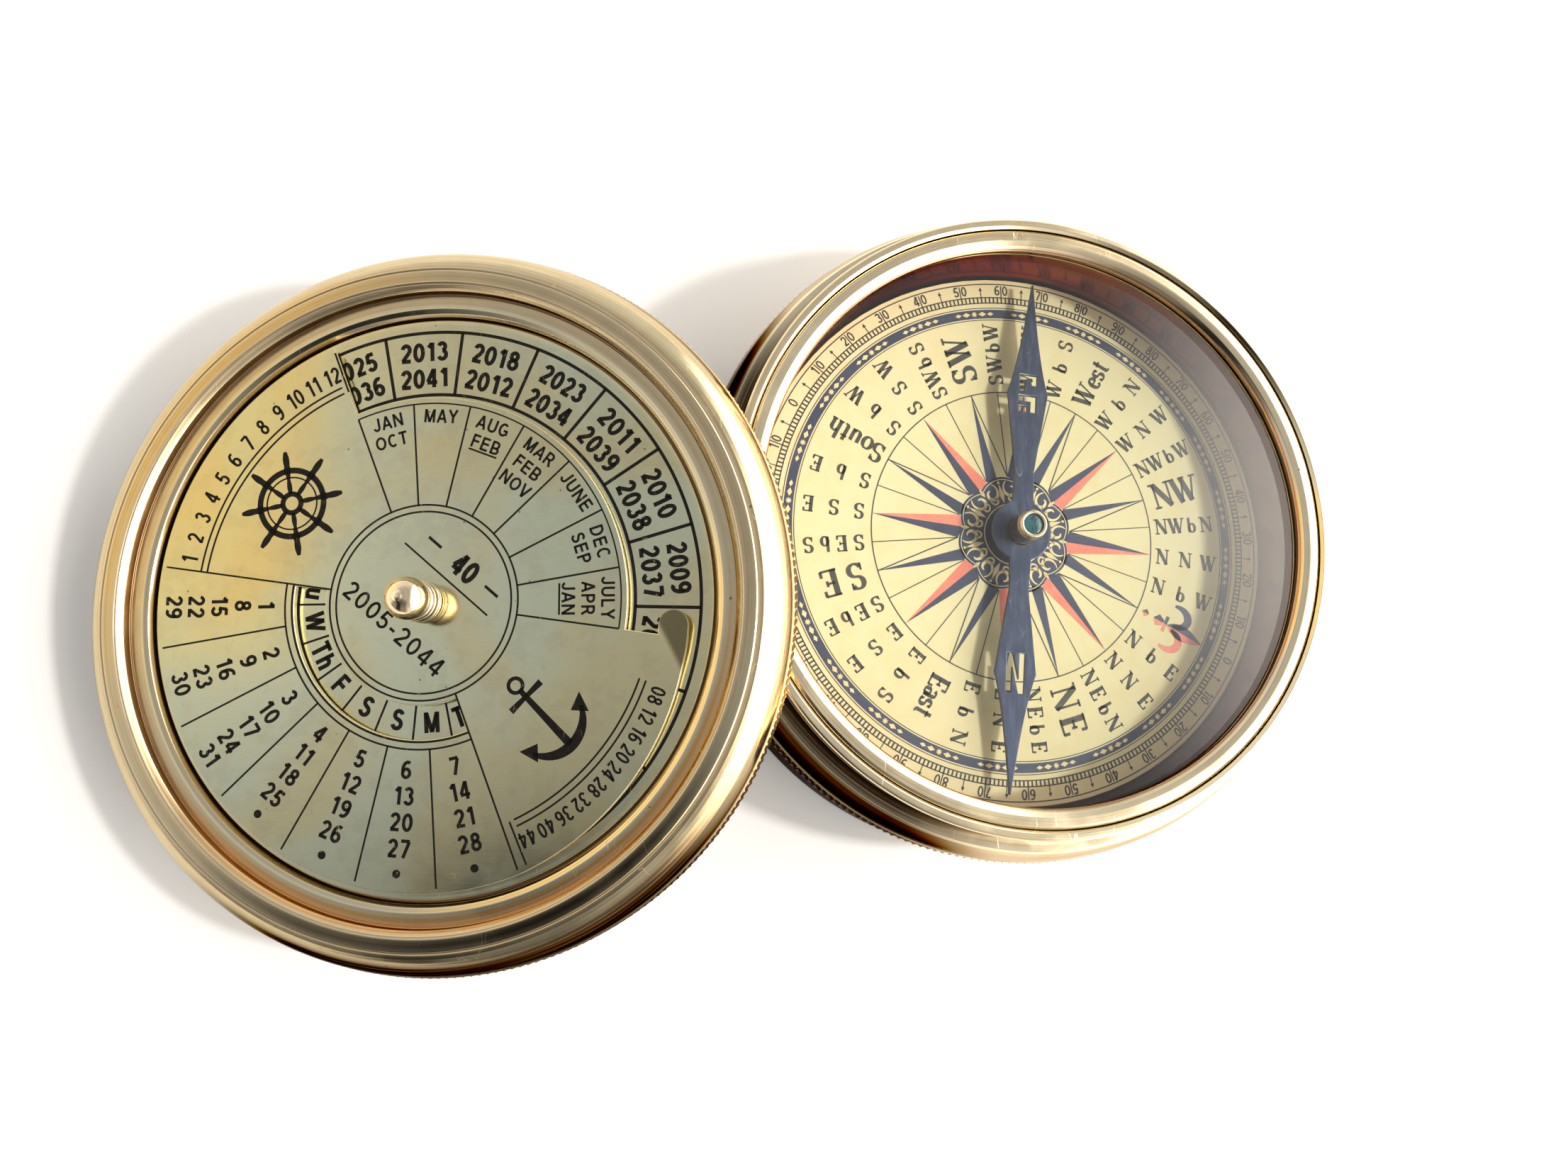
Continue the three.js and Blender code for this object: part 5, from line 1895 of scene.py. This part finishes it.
    def anchor(self) -> Print:
        """A plain anchor: ring, stock, shank, two curved arms with flukes."""
        mark, ring = Print(), Print()
        ring.line(0.8, 0.42)
        mark.stamp(ring, np.array([0, 4.6]))
        mark.stroke(np.array([[0.0, 3.9], [0, 0], [0, -4.3]]), np.array([0.6, 0.75, 0.95]))
        mark.stroke(np.array([[-2.3, 2.9], [0, 2.9], [2.3, 2.9]]), np.array([0.75, 0.5, 0.75]))
        arms = arc_points(4.1, 205, 335, 22) - [0, 0.4]
        mark.stroke(arms, 0.45 + 0.75 * np.sin(np.linspace(0, math.pi, 22)))
        fluke = np.array([[4.6, -0.9], [3.9, -3.2], [2.55, -1.7]])
        mark.shape(fluke)
        mark.shape(fluke * [-1, 1])
        return mark

    def washer(self) -> Form:
        """The collar under the knob, with a groove round it."""
        # Fourth column: tarnish and painted shade.
        corners = [
            (1.3, 6.7, 0.03, 0.6), (2.15, 6.7, 0.08), (2.15, 7.02, 0.08), (2.0, 7.1, 0.03, 0.7),
            (2.15, 7.18, 0.08), (2.15, 7.5, 0.12), (1.3, 7.5, 0.05, 0.6),
        ]
        return turned(corners, 96, steps=3)

    def knob(self) -> Form:
        """The finial: a collar, a groove, a bead, and a ball with a small blunt tip."""
        ball = arc_points(2.15, -37.8, 74, 26) + [0, 10.4]
        turn = np.linspace(0.3, math.pi - 0.3, 7)
        # Fourth column: tarnish and painted shade.
        corners = [
            (0, 9.5, 0, 0.5), (1.3, 9.5, 0, 0.5), (1.3, 7.6, 0.03, 0.6), (2.1, 7.6, 0.1), (2.1, 8.25, 0.16),
            (1.7, 8.4, 0.05, 0.6), *[(1.7 + 0.3 * math.sin(a), 8.67 - 0.225 * math.cos(a), 0) for a in turn],
            (1.7, 8.93, 0.03, 0.6), *[(r, z, 0) for r, z in ball],
            (0.42, 12.6, 0.1), (0.25, 12.7, 0.08), (0, 12.72, 0),
        ]
        return turned(corners, 96, closed=False, steps=3)

    def build(self) -> None:
        """Makes and dresses the plate, its print and the knob, and finishes the hidden spindle."""
        bench = self.bench
        bench.finish("calendar_sheet", self.plate(), "plate_brass", "calendar_plate")
        marks = self.marks().form(self.top - 0.05, self.top + 0.02)
        bench.finish("calendar_print", marks, "black_enamel", "calendar_plate", stands=False)
        bench.finish("knob_collar", self.washer(), "champagne_brass", "knob_washer")
        bench.finish("knob_finial", self.knob(), "champagne_brass", "calendar_knob")
        bench.dress("spindle_washer", "inner_brass")
        bench.dress("spindle_screw", "inner_brass")


# Studio


@dataclass
class Studio:
    """Floor, lamp, sky and the camera of the photograph."""

    image_width: int = 2212
    focal: float = 1660.0
    sensor: float = 36.0
    eye: Triple = (-52.6, -28.7, 141.5)
    right: Triple = (0.98182, 0.0, 0.18982)
    down: Triple = (0.03061, -0.98691, -0.15835)
    forward: Triple = (0.18734, 0.16128, -0.96897)
    nearest: float = 0.002
    floor_size: float = 6.0
    floor_colour: Colour = (0.93, 0.93, 0.93)
    floor_glow: float = 0.19
    lamp_colour: Colour = (1.0, 0.97, 0.92)
    aim: Triple = (-0.03, 0.0, 0.01)
    sky_low: float = 1.0
    sky_high: float = 0.5
    sky_glare: float = 5.2
    sky_left: Pair = (0.55, 0.84)
    fill: float = 0.5

    def pose(self, axes: Array, place: Array) -> Matrix:
        """A matrix with three axes as its columns and a place in metres."""
        matrix = np.eye(4)
        matrix[:3, :3] = axes
        matrix[:3, 3] = place
        return Matrix(matrix.tolist())

    def camera(self) -> None:
        """Places the camera. Its lens is the focal length over the image's width, times the sensor."""
        data = bpy.data.cameras.new("camera")
        data.sensor_width = self.sensor
        data.lens = self.focal / self.image_width * self.sensor
        data.clip_start = self.nearest
        camera = put_in_scene("camera", data)
        axes = np.stack([self.right, -np.array(self.down), -np.array(self.forward)], 1)
        turn, _ = np.linalg.qr(axes)
        camera.matrix_world = self.pose(turn * np.sign((turn * axes).sum(0)), np.array(self.eye) * MM)
        bpy.context.scene.camera = camera

    def floor(self) -> None:
        """A pale floor that keeps the object's shadow."""
        half = self.floor_size / 2
        mesh = bpy.data.meshes.new("floor")
        corners = [(-half, -half, 0), (half, -half, 0), (half, half, 0), (-half, half, 0)]
        mesh.from_pydata(corners, [], [(0, 1, 2, 3)])
        material = bpy.data.materials.new("pale_floor")
        g = Graph.of(material)
        path = g.add("ShaderNodeLightPath").outputs
        seen = g.math("MAXIMUM", path["Is Camera Ray"], path["Is Glossy Ray"])
        seen = g.math("MAXIMUM", seen, path["Is Transmission Ray"])
        shader = g.add("ShaderNodeBsdfPrincipled", {
            "Base Color": (*self.floor_colour, 1),
            "Roughness": 0.9,
            "Emission Color": (1, 1, 1, 1),
            "Emission Strength": g.times(seen, self.floor_glow),
        })
        g.add("ShaderNodeOutputMaterial", {0: shader.outputs[0]})
        mesh.materials.append(material)
        plane = put_in_scene("floor", mesh)

    def key(self, azimuth: float, elevation: float, away: float, side: float, share: float) -> None:
        """A square area lamp aimed at the object.

        Args:
            azimuth: Direction in which it stands, in degrees from +X.
            elevation: Its height over the floor in degrees.
            away: Distance in metres.
            side: Its width in metres.
            share: Light on a level surface, where the lamp and the sky together come to about 1.
        """
        data = bpy.data.lights.new("key", "AREA")
        data.shape, data.size, data.size_y, data.color = "RECTANGLE", side, side, self.lamp_colour
        a, e = math.radians(azimuth), math.radians(elevation)
        data.energy = share * math.pi**2 * away**2 / math.sin(e)
        towards = np.array([math.cos(a) * math.cos(e), math.sin(a) * math.cos(e), math.sin(e)])
        level = np.array([-math.sin(a), math.cos(a), 0])
        axes = np.stack([level, np.cross(towards, level), towards], 1)
        put_in_scene("key", data).matrix_world = self.pose(axes, towards * away + self.aim)

    def sky(self) -> None:
        """A soft sky, plain white where the camera sees it directly.

        What lights and mirrors in the object is bright at the horizon and darker overhead, with a
        glare towards +X, a bluish grey field on the left that the leaning lid mirrors, and a warm
        bright patch below that field.
        """
        world = bpy.data.worlds.new("sky")
        bpy.context.scene.world = world
        g = Graph.of(world)
        x, y, z = g.split(g.add("ShaderNodeTexCoord").outputs["Generated"])
        path = g.add("ShaderNodeLightPath").outputs
        camera = path["Is Camera Ray"]
        glare = g.times(g.spread(x, 0.4, 0.6), g.spread(z, 0.92, 0.8))
        level = g.spread(z, 0.25, 0.8, (self.sky_low, self.sky_high))
        level = g.total(level, (glare, self.sky_glare - self.sky_high))
        front = g.times(g.spread(y, -0.2, -0.5), g.spread(x, 0.3, -0.1))
        left = g.spread(x, -0.3, -0.45)
        dark = g.times(g.spread(y, -0.143, -0.16), g.spread(x, -0.668, -0.645), left)
        field = g.times(left, g.spread(z, 0.52, 0.6))
        shade = g.times(g.spread(x, -0.5, -0.85, self.sky_left), g.spread(y, -0.2, 0.02, (0.6, 1.0)))
        level = g.math("ADD", level, g.times(field, g.math("SUBTRACT", shade, level)))
        patch = g.times(g.spread(x, -0.62, -0.68), g.spread(z, 0.685, 0.665), g.spread(y, -0.02, 0.03))
        tint = g.mix(field, (1.0, 0.99, 0.97), (0.95, 0.98, 1.04))
        tint = g.mix(glare, g.mix(patch, tint, (1.3, 1.04, 0.6)), (1.05, 0.96, 0.84))
        dims = (front, 0.3), (dark, 0.1), (path["Is Diffuse Ray"], self.fill), (camera, 0.0)
        dimmed = [g.spread(share, 0.0, 1.0, (1.0, least)) for share, least in dims]
        level = g.times(g.total(level, (patch, 0.12)), *dimmed)
        given = {0: g.mix(camera, tint, (1.0, 1.0, 1.0)), 1: g.math("ADD", level, camera)}
        g.add("ShaderNodeOutputWorld", {0: g.add("ShaderNodeBackground", given).outputs[0]})

    def build(self) -> None:
        """Sets up the studio."""
        self.camera()
        self.floor()
        self.sky()
        self.key(azimuth=-10, elevation=48, away=1.5, side=0.12, share=0.42)
        bpy.context.scene.view_settings.view_transform = "Standard"


def main() -> None:
    """Builds the sub-assemblies in order: base, dial, needle, lid, calendar, then the studio."""
    joint = next(j for j in frame["joints"] if j["name"] == "calendar_turn")
    leaning = Placement(tuple(v / MM for v in joint["pos_m"]), tuple(joint["axis"]))
    finishes, plain, calendar = make_finishes(), PlainType(), Calendar()
    Cup(Bench("base", finishes)).build()
    Card(Bench("base", finishes), SerifType(), plain).build()
    Needle(Bench("compass_needle", finishes)).build()
    Lid(Bench("lid", finishes, leaning), plain, calendar).build()
    CalendarPlate(Bench("calendar", finishes, leaning), plain, calendar).build()
    Studio().build()


if __name__ == "__main__":
    main()
